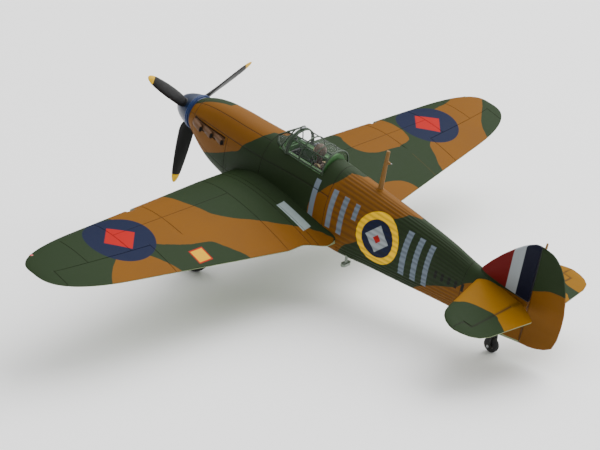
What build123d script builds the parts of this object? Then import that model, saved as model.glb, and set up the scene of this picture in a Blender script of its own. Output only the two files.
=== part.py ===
from build123d import *
import math
import os

# A 1:72 die-cast single-seat fighter, standing on its three wheels, in millimetres.
# It is drawn in its own airframe frame: +X to port, +Y aft from the tip of the
# spinner, +Z up from the thrust line. STANCE then stands it on its wheels.

# --- stance -------------------------------------------------------------------
NOSE_UP = 12.2                # degrees between the thrust line and the table
WHEEL_DROP = 38.72            # thrust line at the spinner tip, above the table
CENTRE_SHIFT = 65.591         # spinner tip to the middle of the length

# --- wing ---------------------------------------------------------------------
HALF_SPAN = 84.65
CENTRE_SECTION = 19.0         # half width of the parallel centre section
TIP_START = 61.6              # where the rounded tip begins
WING_NOSE = 28.2              # leading edge of the centre section
WING_TAIL = 62.9              # trailing edge of the centre section
SWEEP_NOSE = 0.0972           # leading edge aft per mm of span
SWEEP_TAIL = 0.1651           # trailing edge forward per mm of span
TIP_Y = 42.1                  # outermost point of the tip
WING_Z = -7.1                 # chord line at 30 % of the centre section's chord
DIHEDRAL = math.tan(math.radians(3.42))
INCIDENCE = math.tan(math.radians(2.07))
ROOT_THICKNESS = 0.185        # thickness over chord, at the root and at the tip
TIP_THICKNESS = 0.115
CAMBER = 0.022
SEAM = 0.05                   # gap left at the joints between castings
SKIN = 0.12                   # added above and below, so that the tail edge has a thickness

# --- fuselage -----------------------------------------------------------------
# station, top, bottom, half width, height of the widest point, roundness above, below
STATIONS = [
    (8.8, 4.7, -4.9, 4.7, -0.1, 2.0, 2.0),
    (12.0, 6.1, -7.1, 5.5, -0.6, 2.1, 2.2),
    (16.0, 7.1, -9.3, 6.1, -1.0, 2.2, 2.5),
    (22.0, 7.7, -11.0, 6.5, -1.4, 2.2, 2.8),
    (30.0, 7.9, -11.8, 6.8, -1.6, 2.2, 3.0),
    (38.0, 8.3, -12.2, 6.9, -1.6, 2.2, 3.0),
    (48.0, 9.6, -12.5, 6.9, -1.6, 2.2, 3.0),
    (58.0, 10.4, -12.7, 6.8, -1.5, 2.1, 2.9),
    (66.0, 10.1, -12.7, 6.5, -1.5, 2.0, 2.7),
    (76.0, 9.3, -11.5, 5.9, -1.4, 2.0, 2.6),
    (87.0, 8.3, -10.4, 5.0, -1.3, 2.0, 2.6),
    (98.0, 7.0, -9.3, 4.1, -1.2, 2.0, 2.5),
    (107.5, 5.1, -8.7, 3.2, -1.2, 2.0, 2.4),
    (115.0, 4.2, -8.9, 2.2, -1.5, 2.0, 2.3),
    (122.7, 3.6, -7.7, 0.9, -2.0, 2.0, 2.0),
]
SECTION_STEPS = 10
WALL = 1.2
NOSE_WALL = 1.8
HOLLOW_END = 105.0
BELLY_TOP = -7.2
BELLY_NOSE = 27.0
BELLY_TAIL = 66.5
SILL = 7.0
COCKPIT_NOSE = 41.5
COCKPIT_TAIL = 57.9
FIN_HALF = 0.75
FIN_NOSE_Y = 106.6
FIN_FOOT_Z = 2.6
CLEAR = 25.0                  # a cut this long runs right out of the model
HINGE_Y = 122.7

# --- propeller ----------------------------------------------------------------
BLADE_TURNS = {"a": 52.2, "b": -67.8, "c": 172.2}   # degrees from upright towards port
PROP_Y = 5.0
BLADE_SECTIONS = [            # radius, chord, thickness, pitch from the plane of the disc
    (4.2, 2.4, 1.5, 44),
    (5.4, 3.7, 1.3, 43),
    (7.0, 4.2, 1.15, 41),
    (10.0, 4.05, 1.0, 36),
    (13.0, 3.8, 0.9, 30),
    (16.0, 3.4, 0.8, 25.5),
    (19.0, 2.85, 0.65, 21),
    (21.2, 2.1, 0.5, 19.5),
    (22.4, 1.2, 0.4, 18.5),
    (22.8, 0.6, 0.3, 18),
]
BLADE_SHANK = 0.9             # radius of a blade's round root
BLADE_HOLE = 1.6              # radius of the opening in the spinner round it
BLADE_REACH = 9.0             # far enough out to be clear of the spinner
SPINNER_RADIUS = 4.7
SPINNER_WALL = 0.8
SPINNER_END = 7.3
PLATE_END = 8.4
HUB_NOSE = 3.0
HUB_RADIUS = 2.2
SHAFT_RADIUS = 0.8
SHAFT_LENGTH = 14.0
BUSH_RADIUS = 1.6
BUSH_LENGTH = 6.3
COLLAR_Y = 15.4
COLLAR_RADIUS = 1.7
COLLAR_WIDTH = 1.2
RUNNING = 0.05                # radial clearance of every running fit

# --- undercarriage ------------------------------------------------------------
TRACK_HALF = 16.6
MAIN_AXLE_Y = 28.55
MAIN_RADIUS = 5.5
MAIN_WIDTH = 2.8
MAIN_RIM = 3.1                # radius where the tyre sits on the hub
MAIN_DISH = 2.7
MAIN_BOSS = 1.3
MAIN_DISH_DEPTH = 0.6
MAIN_ROUND = 1.1
LEG_X = 19.2
LEG_TOP_Y = 31.6
LEG_TOP_Z = -7.8
LEG_RADIUS = 0.85
MAIN_PIN = 0.6
DOOR_GAP = 1.5                # from the leg's centre line out to its door
DOOR_THICKNESS = 0.5
TAIL_AXLE_Y = 115.42
TAIL_RADIUS = 2.05
TAIL_WIDTH = 1.5
TAIL_RIM = 1.1
TAIL_ROUND = 0.55
TAIL_PIN = 0.35

# --- tail ---------------------------------------------------------------------
TAILPLANE_Z = 2.8
TAILPLANE_HALF = 0.6
TAILPLANE_ROOT = 0.9
RUDDER_HALF = 0.6
RUDDER_GAP = 0.15

# --- trim ---------------------------------------------------------------------
EXHAUST_Z = 0.9
EXHAUST_STATIONS = (13.2, 17.4, 21.6)
EXHAUST_Y = 17.9              # middle of the bar that joins the stubs
EXHAUST_BAR = (0.8, 12.2, 1.8)
EXHAUST_SLOT = (4.0, 13.4, 2.5)
LIGHT_X = 45.4
NAV_X = 80.2
NAV_Y = 37.0
NAV_Z = -3.2
LIGHT_SIZE = (2.6, 3.6)
MAST_Y = 73.0
MAST_FOOT = 7.0
MAST_TOP = 20.6
PITOT_X = 62.0
STEP_X = 4.2
STEP_Y = 70.0
STEP_Z = -13.4
# station, half width and bottom of the two ducts under the belly
RADIATOR_SECTIONS = ((46.8, 4.0, -16.4), (51.5, 4.2, -16.7), (56.5, 3.6, -14.0))
INTAKE_SECTIONS = ((36.9, 1.2, -14.2), (40.9, 0.9, -12.6))
WELL_X = 7.4
WELL_Y = 35.0
WELL_RADIUS = 6.0
WELL_CEILING = -6.0
LEG_BAY_X = 11.8
LEG_BAY_Y = 32.4
LEG_BAY_SIZE = (11.0, 2.6)

# --- screws: station, then the bottom and top of the boss each one bites in ------
SCREW_STATIONS = {30.5: (-3.9, 2.0), 64.4: (BELLY_TOP + SEAM, -1.0)}
SCREW_HEAD = 1.3
SCREW_SHANK = 0.7
SCREW_SEAT = -10.6
SCREW_HEAD_HEIGHT = 0.9
SCREW_PILOT = 0.75            # radius of the hole in the boss
BOSS_WIDTH = 6.2
BOSS_LENGTH = 3.2

# --- cockpit ------------------------------------------------------------------
HOOD_NOSE = 45.4
HOOD_TAIL = 58.6
HOOD_HALF = 4.75
HOOD_TOP = 12.7
HEAD_Z = 9.3
HEAD_RADIUS = 1.75
GLAZING = 0.45
SCREEN_NOSE = 37.4
SCREEN_FACES = ((4.6, SILL), (4.2, 9.6), (1.8, 12.6))
MIRROR_Y = 44.7
MIRROR_Z = 12.65
SIGHT_Y = 43.0
PANEL_Y = 43.2
PANEL_Z = 4.0
PANEL_THICKNESS = 0.5
TUB_Y = 49.8
TUB_LENGTH = 15.8
TUB_WALL = 0.5
TUB_HALF = 3.0
TUB_FLOOR = -1.8
TUB_DECK = TUB_FLOOR + TUB_WALL
SEAT_Y = 53.2
SEAT_WIDTH = 3.8
SEAT_HEIGHT = 1.2
HEADREST_Y = 56.3
STICK_Y = 47.5
CHEST_Y = 52.7
HEAD_Y = 52.1

# --- stand socket -------------------------------------------------------------
SOCKET_Y = 44.2
SOCKET_RADIUS = 1.5
SOCKET_DEPTH = 5.0
BELLY_SKIN = 12.4             # depth of the belly's underside below the thrust line

COS_UP = math.cos(math.radians(NOSE_UP))
SIN_UP = math.sin(math.radians(NOSE_UP))
STANCE = Location((0, -CENTRE_SHIFT, WHEEL_DROP), (-NOSE_UP, 0, 0))
os.makedirs("parts", exist_ok=True)


def height_over_table(y, height):
    """Airframe height of a point at station y that stands `height` above the table."""
    return (height - WHEEL_DROP + y * SIN_UP) / COS_UP


def finish(piece, name):
    """Stand a finished piece on its wheels, label it and write it."""
    piece.part = piece.part.moved(STANCE)
    piece.part.label = name
    export_step(piece.part, f"parts/{name}.step")


def across(y):
    """Plane of a fuselage station: its first axis is +X, its second +Z."""
    return Plane.XZ.offset(-y)


def along(x):
    """Plane at span x: its first axis is +Y, its second +Z."""
    return Plane.YZ.offset(x)


def signed_power(value, power):
    return math.copysign(abs(value) ** power, value)


def half_section(top, bottom, half_width, waist, above, below):
    """Port half of one rounded fuselage section."""
    points = []
    for step in range(SECTION_STEPS + 1):
        turn = math.pi * step / SECTION_STEPS
        over = math.cos(turn) >= 0
        power = 2 / (above if over else below)
        reach = top - waist if over else waist - bottom
        x = half_width * abs(math.sin(turn)) ** power
        points.append((x, waist + reach * signed_power(math.cos(turn), power)))
    points[0] = (0, top)
    points[-1] = (0, bottom)
    with BuildLine() as outline:
        Spline(*points)
        Line((0, bottom), (0, top))
    make_face(outline.edges())


def half_body(inset, first, last):
    """Solid port half of the fuselage, drawn in by `inset`, between two stations."""
    with BuildPart() as body:
        for y, top, bottom, half_width, waist, above, below in STATIONS:
            with BuildSketch(across(y)):
                half_section(top - inset, bottom + inset, half_width - inset, waist, above, below)
            if y == STATIONS[-2][0] and last < y:
                break
        loft()
        with BuildSketch(across(first)):
            Rectangle(60, 60)
        extrude(amount=-(last - first), mode=Mode.INTERSECT)
    return body


def nose_line(x):
    return WING_NOSE + max(0, x - CENTRE_SECTION) * SWEEP_NOSE


def tail_line(x):
    return WING_TAIL - max(0, x - CENTRE_SECTION) * SWEEP_TAIL


def tip_round(x):
    """1 inboard of the rounded tip, falling to 0 at the very tip."""
    reach = max(0, (x - TIP_START) / (HALF_SPAN - TIP_START))
    return max(0, 1 - reach ** 3) ** (1 / 3)


def wing_section(x, grow=0.0):
    """Cambered wing section at span x, made fatter all round by `grow`."""
    shrink = tip_round(x)
    nose = TIP_Y - (TIP_Y - nose_line(x)) * shrink
    chord = (tail_line(x) - nose_line(x)) * shrink
    spread = min(1, max(0, x - CENTRE_SECTION) / (TIP_START - CENTRE_SECTION))
    ratio = (ROOT_THICKNESS + (TIP_THICKNESS - ROOT_THICKNESS) * spread) * shrink
    base = WING_Z + max(0, x - CENTRE_SECTION) * DIHEDRAL
    upper, lower = [], []
    steps = 8
    for step in range(steps + 1):
        s = (1 - math.cos(math.pi * step / steps)) / 2
        half = 5 * ratio * chord * (
            0.2969 * math.sqrt(s) - 0.1260 * s - 0.3516 * s ** 2 + 0.2843 * s ** 3 - 0.1015 * s ** 4)
        centre = base + (0.3 - s) * chord * INCIDENCE + 4 * CAMBER * chord * s * (1 - s) * shrink
        y = nose - grow + s * (chord + 2 * grow)
        upper.append((y, centre + half + grow + SKIN * shrink))
        lower.append((y, centre - half - grow - SKIN * shrink))
    outline = list(reversed(upper[1:])) + [(nose - grow, (upper[0][1] + lower[0][1]) / 2)] + lower[1:]
    with BuildLine() as loop:
        edge = Spline(*outline)
        Line(edge @ 0, edge @ 1)
    make_face(loop.edges())


def wing_solid(grow=0.0):
    """The whole wing without its pockets."""
    reach = HALF_SPAN - TIP_START
    tips = [TIP_START + 0.998 * reach * math.sin(math.pi / 2 * step / 9) for step in range(10)]
    with BuildPart() as port:
        for x in (CENTRE_SECTION, TIP_START):
            with BuildSketch(along(x)):
                wing_section(x, grow)
        loft(ruled=True)
    with BuildPart() as tip:
        for x in tips:
            with BuildSketch(along(x)):
                wing_section(x, grow)
        loft(ruled=True)
    with BuildPart() as whole:
        for x in (-CENTRE_SECTION, CENTRE_SECTION):
            with BuildSketch(along(x)):
                wing_section(0, grow)
        loft(ruled=True)
        add(port.part)
        add(tip.part)
        add(port.part.mirror(Plane.YZ))
        add(tip.part.mirror(Plane.YZ))
    return whole


def rod(start, end, radius, tip_radius=None, mode=Mode.ADD):
    """Round rod between two points, tapered when a second radius is given."""
    direction = Vector(*end) - Vector(*start)
    base = Plane(origin=start, z_dir=direction)
    with BuildSketch(base) as foot:
        Circle(radius)
    with BuildSketch(base.offset(direction.length)) as head:
        Circle(radius if tip_radius is None else tip_radius)
    loft([foot.sketch, head.sketch], mode=mode)


def outward(turn):
    """Point on a blade's axis, well outside the spinner."""
    tilt = math.radians(turn)
    return (BLADE_REACH * math.sin(tilt), PROP_Y, BLADE_REACH * math.cos(tilt))


# --- fuselage halves, fin and wing casting --------------------------------------
outer_half = half_body(0, STATIONS[0][0], HINGE_Y)
hollow_half = half_body(WALL, STATIONS[0][0] + NOSE_WALL, HOLLOW_END)
wing_blank = wing_solid()
wing_cutter = wing_solid(SEAM)

with BuildPart() as port_shell:
    add(outer_half.part)
    add(hollow_half.part, mode=Mode.SUBTRACT)
    with BuildSketch(along(0)):
        with BuildLine():
            fin_nose = Spline((FIN_NOSE_Y, 3.6), (109.9, 8.8), (115.7, 15.4), (120.4, 19.1), (HINGE_Y, 19.55))
            Polyline(fin_nose @ 1, (HINGE_Y, FIN_FOOT_Z), (FIN_NOSE_Y, FIN_FOOT_Z), fin_nose @ 0)
        make_face()
    extrude(amount=FIN_HALF)
    for y, (low, high) in SCREW_STATIONS.items():
        with BuildSketch(Plane.XY.offset(low)):
            with Locations((BOSS_WIDTH / 2, y)):
                Rectangle(BOSS_WIDTH, BOSS_LENGTH)
        extrude(amount=high - low)
    with BuildSketch(Plane.XY.offset(SILL)):
        with Locations((0, (COCKPIT_NOSE + COCKPIT_TAIL) / 2)):
            Rectangle(20, COCKPIT_TAIL - COCKPIT_NOSE)
    extrude(amount=10, mode=Mode.SUBTRACT)
    with BuildSketch(across(BELLY_NOSE - SEAM)):
        with Locations((0, BELLY_TOP + SEAM)):
            Rectangle(30, 20, align=(Align.CENTER, Align.MAX))
    extrude(amount=-(BELLY_TAIL - BELLY_NOSE + 2 * SEAM), mode=Mode.SUBTRACT)
    add(wing_cutter.part, mode=Mode.SUBTRACT)
    with BuildSketch(across(0)):
        Circle(BUSH_RADIUS)
    extrude(amount=-20, mode=Mode.SUBTRACT)
    for y, (low, high) in SCREW_STATIONS.items():
        with BuildSketch(Plane.XY.offset(low - 5)):
            with Locations((0, y)):
                Circle(SCREW_PILOT)
        extrude(amount=high - low + 4.2, mode=Mode.SUBTRACT)


# --- tail surfaces ---------------------------------------------------------------
with BuildPart() as tailplane_port:
    with BuildSketch(Plane.XY.offset(TAILPLANE_Z - TAILPLANE_HALF)):
        with BuildLine():
            front = Line((TAILPLANE_ROOT, 107.8), (14.5, 111.3))
            tip = Spline(front @ 1, (20.6, 113.8), (23.3, 119.0), (20.6, 124.9), (15.5, 126.2))
            Polyline(tip @ 1, (4.6, 127.6), (TAILPLANE_ROOT, 121.6), front @ 0)
        make_face()
    extrude(amount=2 * TAILPLANE_HALF)

with BuildPart() as tailplane_starboard:
    add(tailplane_port.part.mirror(Plane.YZ))

with BuildPart() as rudder:
    with BuildSketch(along(-RUDDER_HALF)):
        with BuildLine():
            rim = Spline((HINGE_Y + RUDDER_GAP, 19.6), (125.9, 19.2), (130.4, 14.8), (132.3, 9.0),
                         (132.9, 2.1), (131.8, -4.2), (127.4, -6.7), (HINGE_Y + RUDDER_GAP, -7.6))
            Line(rim @ 1, rim @ 0)
        make_face()
    extrude(amount=2 * RUDDER_HALF)

with BuildPart() as rudder_aerial_post:
    rod((0, 123.6, 18.6), (0, 123.7, 21.0), 0.35, 0.25)
    add(rudder.part, mode=Mode.SUBTRACT)

# --- exhausts: a bar in the cowling wall with three stubs a side -----------------
with BuildPart() as exhaust_port:
    with BuildSketch(Plane.XY.offset(EXHAUST_Z - EXHAUST_BAR[2] / 2)):
        with Locations((5.0, EXHAUST_Y)):
            Rectangle(*EXHAUST_BAR[:2])
    extrude(amount=EXHAUST_BAR[2])
    for y in EXHAUST_STATIONS:
        rod((4.9, y, EXHAUST_Z), (6.95, y + 2.9, EXHAUST_Z - 0.5), 0.8, 0.65)

with BuildPart() as exhaust_starboard:
    add(exhaust_port.part.mirror(Plane.YZ))

with BuildPart() as exhaust_slot:
    with BuildSketch(Plane.XY.offset(EXHAUST_Z - 1.4)):
        with Locations((6.3, EXHAUST_Y + 0.1)):
            Rectangle(*EXHAUST_SLOT[:2])
    extrude(amount=EXHAUST_SLOT[2])

# --- tail wheel -------------------------------------------------------------------------
tail_axle_z = height_over_table(TAIL_AXLE_Y, TAIL_RADIUS)
tail_spot = (TAIL_AXLE_Y, tail_axle_z)
with BuildPart() as tail_fork:
    rod((0, 113.6, -6.4), (0, 114.6, tail_axle_z + TAIL_RADIUS + 0.55), 0.75)
    with BuildSketch(Plane.XY.offset(tail_axle_z + TAIL_RADIUS + 0.35)):
        with Locations((0, 114.9)):
            Rectangle(3.0, 1.7)
    extrude(amount=0.7)
    for side in (1, -1):
        with BuildSketch(along(side * 1.05)):
            with BuildLine():
                Polyline((114.1, tail_axle_z + 2.6), (115.7, tail_axle_z + 2.6), (116.0, tail_axle_z - 0.4),
                         (115.0, tail_axle_z - 0.6), (114.1, tail_axle_z + 2.6))
            make_face()
        extrude(amount=side * 0.45)
    rod((-3, *tail_spot), (3, *tail_spot), TAIL_PIN, mode=Mode.SUBTRACT)

with BuildPart() as tail_axle:
    rod((-1.6, *tail_spot), (1.6, *tail_spot), TAIL_PIN)

with BuildPart() as tail_hub:
    with BuildSketch(along(-TAIL_WIDTH / 2)):
        with Locations(tail_spot):
            Circle(TAIL_RIM)
            Circle(TAIL_PIN + RUNNING, mode=Mode.SUBTRACT)
    extrude(amount=TAIL_WIDTH)

with BuildPart() as tail_tyre:
    with BuildSketch(along(-TAIL_WIDTH / 2)):
        with Locations(tail_spot):
            Circle(TAIL_RADIUS)
    extrude(amount=TAIL_WIDTH)
    fillet(tail_tyre.edges().filter_by(GeomType.CIRCLE), TAIL_ROUND)
    with BuildSketch(along(-TAIL_WIDTH / 2)):
        with Locations(tail_spot):
            Circle(TAIL_RIM)
    extrude(amount=TAIL_WIDTH, mode=Mode.SUBTRACT)

# --- antenna mast ------------------------------------------------------------------
with BuildPart() as antenna_mast:
    with BuildSketch(Plane.XY.offset(MAST_FOOT)):
        with Locations((0, MAST_Y)):
            Ellipse(0.42, 0.75)
    with BuildSketch(Plane.XY.offset(MAST_TOP)):
        with Locations((0, MAST_Y + 0.2)):
            Ellipse(0.26, 0.42)
    loft()
    with BuildSketch(along(-0.15)):
        with BuildLine():
            Polyline((MAST_Y + 0.2, 18.0), (MAST_Y + 1.6, 17.6), (MAST_Y + 0.2, 16.6), (MAST_Y + 0.2, 18.0))
        make_face()
    extrude(amount=0.3)

# --- fuselage halves --------------------------------------------------------------
with BuildPart() as fuselage_port_half:
    add(port_shell.part)
    add(exhaust_slot.part, mode=Mode.SUBTRACT)
    add(exhaust_port.part, mode=Mode.SUBTRACT)
    add(tailplane_port.part, mode=Mode.SUBTRACT)
    add(tail_fork.part, mode=Mode.SUBTRACT)
    add(antenna_mast.part, mode=Mode.SUBTRACT)

with BuildPart() as fuselage_starboard_half:
    add(fuselage_port_half.part.mirror(Plane.YZ))

# --- the wing casting, with the belly between its roots --------------------------
leg_foot_z = height_over_table(MAIN_AXLE_Y, MAIN_RADIUS)

with BuildPart() as wing_bare:
    with BuildSketch(across(BELLY_NOSE)):
        with Locations((0, BELLY_TOP)):
            Rectangle(30, 12, align=(Align.CENTER, Align.MAX))
    extrude(amount=-(BELLY_TAIL - BELLY_NOSE))
    add(outer_half.part + outer_half.part.mirror(Plane.YZ), mode=Mode.INTERSECT)
    add(wing_blank.part)
    for side in (1, -1):
        with BuildSketch(Plane.XY.offset(-CLEAR)):
            with Locations((side * WELL_X, WELL_Y)):
                Circle(WELL_RADIUS)
            with Locations((side * LEG_BAY_X, LEG_BAY_Y)):
                Rectangle(*LEG_BAY_SIZE)
        extrude(amount=CLEAR + WELL_CEILING, mode=Mode.SUBTRACT)
        rod((side * LEG_X, MAIN_AXLE_Y, leg_foot_z), (side * LEG_X, LEG_TOP_Y, LEG_TOP_Z),
            LEG_RADIUS + SEAM, mode=Mode.SUBTRACT)
    with BuildSketch(Plane.XY.offset(-CLEAR)):
        with Locations((0, SOCKET_Y)):
            Circle(SOCKET_RADIUS)
    extrude(amount=CLEAR - BELLY_SKIN + SOCKET_DEPTH, mode=Mode.SUBTRACT)
    with BuildSketch(Plane.XY.offset(-CLEAR)):
        with Locations(*[(0, y) for y in SCREW_STATIONS]):
            Circle(SCREW_SHANK + SEAM)
    extrude(amount=CLEAR, mode=Mode.SUBTRACT)
    with BuildSketch(Plane.XY.offset(-CLEAR)):
        with Locations(*[(0, y) for y in SCREW_STATIONS]):
            Circle(SCREW_HEAD + SEAM)
    extrude(amount=CLEAR + SCREW_SEAT, mode=Mode.SUBTRACT)

with BuildPart() as light_blocks:
    for side in (1, -1):
        with BuildSketch(Plane.XY.offset(-14)):
            with Locations((side * LIGHT_X, nose_line(LIGHT_X))):
                Rectangle(*LIGHT_SIZE)
        extrude(amount=14)

with BuildPart() as wing:
    add(wing_bare.part)
    add(light_blocks.part, mode=Mode.SUBTRACT)

landing_lights = {}
nav_lights = {}
for side, word in ((1, "port"), (-1, "starboard")):
    with BuildPart() as lens:
        with BuildSketch(Plane.XY.offset(-14)):
            with Locations((side * LIGHT_X, nose_line(LIGHT_X))):
                Rectangle(*LIGHT_SIZE)
        extrude(amount=14)
        add(wing_blank.part, mode=Mode.INTERSECT)
    landing_lights[word] = lens
    with BuildPart() as lamp:
        with BuildSketch(along(side * NAV_X)):
            with Locations((NAV_Y, NAV_Z)):
                Ellipse(1.3, 0.55)
        extrude(amount=0.45, both=True)
        add(wing_blank.part, mode=Mode.SUBTRACT)
    nav_lights[word] = lamp

with BuildPart() as assembly_screws:
    for y, (low, high) in SCREW_STATIONS.items():
        rod((0, y, SCREW_SEAT - SCREW_HEAD_HEIGHT), (0, y, SCREW_SEAT), SCREW_HEAD)
        rod((0, y, SCREW_SEAT), (0, y, high - 0.9), SCREW_SHANK)
        with BuildSketch(Plane.XY.offset(SCREW_SEAT - SCREW_HEAD_HEIGHT)):
            with Locations((0, y)):
                Rectangle(1.8, 0.4)
                Rectangle(0.4, 1.8)
        extrude(amount=0.4, mode=Mode.SUBTRACT)

# --- propeller: everything here turns with the shaft ------------------------------
with BuildPart() as propeller_hub:
    with BuildSketch(across(HUB_NOSE)):
        Circle(HUB_RADIUS)
        Circle(SHAFT_RADIUS, mode=Mode.SUBTRACT)
    extrude(amount=-(PLATE_END - 1.0 - HUB_NOSE))
    for turn in BLADE_TURNS.values():
        rod((0, PROP_Y, 0), outward(turn), BLADE_SHANK, mode=Mode.SUBTRACT)

blades = {}
for word, turn in BLADE_TURNS.items():
    with BuildPart() as blade:
        with BuildSketch(Plane.XY.offset(1.0)):
            with Locations((0, PROP_Y)):
                Circle(BLADE_SHANK)
        extrude(amount=3.4)
        for radius, chord, thick, pitch in BLADE_SECTIONS:
            with BuildSketch(Plane.XY.offset(radius)):
                with Locations(Location((0, PROP_Y, 0), (0, 0, pitch))):
                    Ellipse(chord / 2, thick / 2)
        loft()
    blade.part = blade.part.rotate(Axis((0, 0, 0), (0, 1, 0)), turn)
    blades[word] = blade

with BuildPart() as spinner:
    with BuildSketch(Plane.YZ):
        with BuildLine():
            nose = Spline((0, 0), (1.2, 2.0), (3.6, 3.7), (SPINNER_END, SPINNER_RADIUS))
            Polyline(nose @ 1, (SPINNER_END, SPINNER_RADIUS - SPINNER_WALL), (3.4, 2.7), (1.4, 0), nose @ 0)
        make_face()
    revolve(axis=Axis((0, 0, 0), (0, 1, 0)))
    for turn in BLADE_TURNS.values():
        rod((0, PROP_Y, 0), outward(turn), BLADE_HOLE, mode=Mode.SUBTRACT)

with BuildPart() as spinner_backplate:
    with BuildSketch(across(SPINNER_END)):
        Circle(SPINNER_RADIUS + 0.15)
        Circle(HUB_RADIUS, mode=Mode.SUBTRACT)
    extrude(amount=-(PLATE_END - SPINNER_END))

with BuildPart() as propeller_shaft:
    with BuildSketch(across(HUB_NOSE)):
        Circle(SHAFT_RADIUS)
    extrude(amount=-SHAFT_LENGTH)

with BuildPart() as shaft_collar:
    with BuildSketch(across(COLLAR_Y)):
        Circle(COLLAR_RADIUS)
        Circle(SHAFT_RADIUS, mode=Mode.SUBTRACT)
    extrude(amount=-COLLAR_WIDTH)

with BuildPart() as nose_bush:
    with BuildSketch(across(STATIONS[0][0])):
        Circle(BUSH_RADIUS)
        Circle(SHAFT_RADIUS + RUNNING, mode=Mode.SUBTRACT)
    extrude(amount=-BUSH_LENGTH)

# --- main undercarriage -------------------------------------------------------------
legs, axles, struts, doors, hubs, tyres = {}, {}, {}, {}, {}, {}
hub_plane = TRACK_HALF - MAIN_WIDTH / 2
for side, word in ((1, "port"), (-1, "starboard")):
    foot = (side * LEG_X, MAIN_AXLE_Y, leg_foot_z)
    head = (side * LEG_X, LEG_TOP_Y, LEG_TOP_Z)
    slope = Vector(*head) - Vector(*foot)
    middle = Vector(*foot) + slope * 0.45
    with BuildPart() as leg:
        rod(foot, head, LEG_RADIUS)
        rod(tuple(middle), tuple(middle + slope.normalized() * 5.5), LEG_RADIUS + 0.3)
        rod((side * (LEG_X - 0.9), *foot[1:]), (side * (LEG_X + 0.9), *foot[1:]), 1.15)
        rod((side * (LEG_X - 2.0), *foot[1:]), (side * (LEG_X + 2.0), *foot[1:]), MAIN_PIN,
            mode=Mode.SUBTRACT)
    legs[word] = leg
    with BuildPart() as axle:
        rod((side * (LEG_X + 0.8), *foot[1:]), (side * (hub_plane - 0.35), *foot[1:]), MAIN_PIN)
        rod((side * (hub_plane - 0.75), *foot[1:]), (side * (hub_plane - 0.15), *foot[1:]), 1.0)
    axles[word] = axle
    with BuildPart() as strut:
        rod(tuple(middle + slope.normalized() * 2.6), (side * 15.6, 37.5, -9.0), 0.55)
        add(leg.part, mode=Mode.SUBTRACT)
        add(wing_cutter.part, mode=Mode.SUBTRACT)
    struts[word] = strut
    with BuildPart() as door:
        with BuildSketch(along(side * (LEG_X + DOOR_GAP))):
            with BuildLine():
                Polyline((27.0, -23.6), (27.6, -10.4), (34.4, -10.4), (32.6, -20.6))
                Spline((32.6, -20.6), (30.6, -24.6), (28.2, -25.4), (27.0, -23.6))
            make_face()
        extrude(amount=side * DOOR_THICKNESS)
        for share in (0.35, 0.72):
            spot = Vector(*foot) + slope * share
            with BuildSketch(along(side * (LEG_X + 0.3))):
                with Locations((spot.Y, spot.Z)):
                    Rectangle(0.9, 1.4)
            extrude(amount=side * 1.3)
        add(leg.part, mode=Mode.SUBTRACT)
        add(wing_cutter.part, mode=Mode.SUBTRACT)
    doors[word] = door
    with BuildPart() as hub:
        with BuildSketch(along(side * hub_plane)):
            with Locations(foot[1:]):
                Circle(MAIN_RIM)
                Circle(MAIN_PIN + RUNNING, mode=Mode.SUBTRACT)
        extrude(amount=side * MAIN_WIDTH)
        for face_x, way in ((hub_plane, 1), (hub_plane + MAIN_WIDTH, -1)):
            with BuildSketch(along(side * face_x)):
                with Locations(foot[1:]):
                    Circle(MAIN_DISH)
                    Circle(MAIN_BOSS, mode=Mode.SUBTRACT)
            extrude(amount=side * way * MAIN_DISH_DEPTH, mode=Mode.SUBTRACT)
    hubs[word] = hub
    with BuildPart() as tyre:
        with BuildSketch(along(side * hub_plane)):
            with Locations(foot[1:]):
                Circle(MAIN_RADIUS)
        extrude(amount=side * MAIN_WIDTH)
        fillet(tyre.edges().filter_by(GeomType.CIRCLE), MAIN_ROUND)
        with BuildSketch(along(side * hub_plane)):
            with Locations(foot[1:]):
                Circle(MAIN_RIM)
        extrude(amount=side * MAIN_WIDTH, mode=Mode.SUBTRACT)
    tyres[word] = tyre

# --- cockpit -------------------------------------------------------------------------------
with BuildPart() as cockpit_tub:
    with BuildSketch(Plane.XY.offset(TUB_FLOOR)):
        with Locations((0, TUB_Y)):
            Rectangle(2 * TUB_HALF, TUB_LENGTH)
    extrude(amount=SILL - TUB_FLOOR - 0.4)
    with BuildSketch(Plane.XY.offset(TUB_DECK)):
        with Locations((0, TUB_Y)):
            Rectangle(2 * (TUB_HALF - TUB_WALL), TUB_LENGTH - 2 * TUB_WALL)
    extrude(amount=20, mode=Mode.SUBTRACT)

with BuildPart() as seat:
    with BuildSketch(Plane.XY.offset(TUB_DECK)):
        with Locations((0, SEAT_Y)):
            Rectangle(SEAT_WIDTH, 4.4)
    extrude(amount=SEAT_HEIGHT)
    with BuildSketch(Plane.XY.offset(TUB_DECK + SEAT_HEIGHT)):
        with Locations((0, SEAT_Y + 1.9)):
            Rectangle(SEAT_WIDTH, 0.6)
    extrude(amount=4.4)

with BuildPart() as headrest_plate:
    with BuildSketch(across(HEADREST_Y)):
        with BuildLine():
            Polyline((-2.1, TUB_DECK), (-2.1, 9.0), (-1.2, 11.2), (1.2, 11.2), (2.1, 9.0),
                     (2.1, TUB_DECK), (-2.1, TUB_DECK))
        make_face()
    extrude(amount=-0.8)

with BuildPart() as instrument_panel:
    with BuildSketch(across(PANEL_Y)):
        with Locations((0, PANEL_Z)):
            RectangleRounded(4.9, 4.0, 0.8)
    extrude(amount=-PANEL_THICKNESS)
    for x in (-1.5, 0, 1.5):
        with BuildSketch(across(PANEL_Y + PANEL_THICKNESS)):
            with Locations((x, PANEL_Z + 0.9), (x, PANEL_Z - 0.7)):
                Circle(0.5)
        extrude(amount=-0.12)

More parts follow.
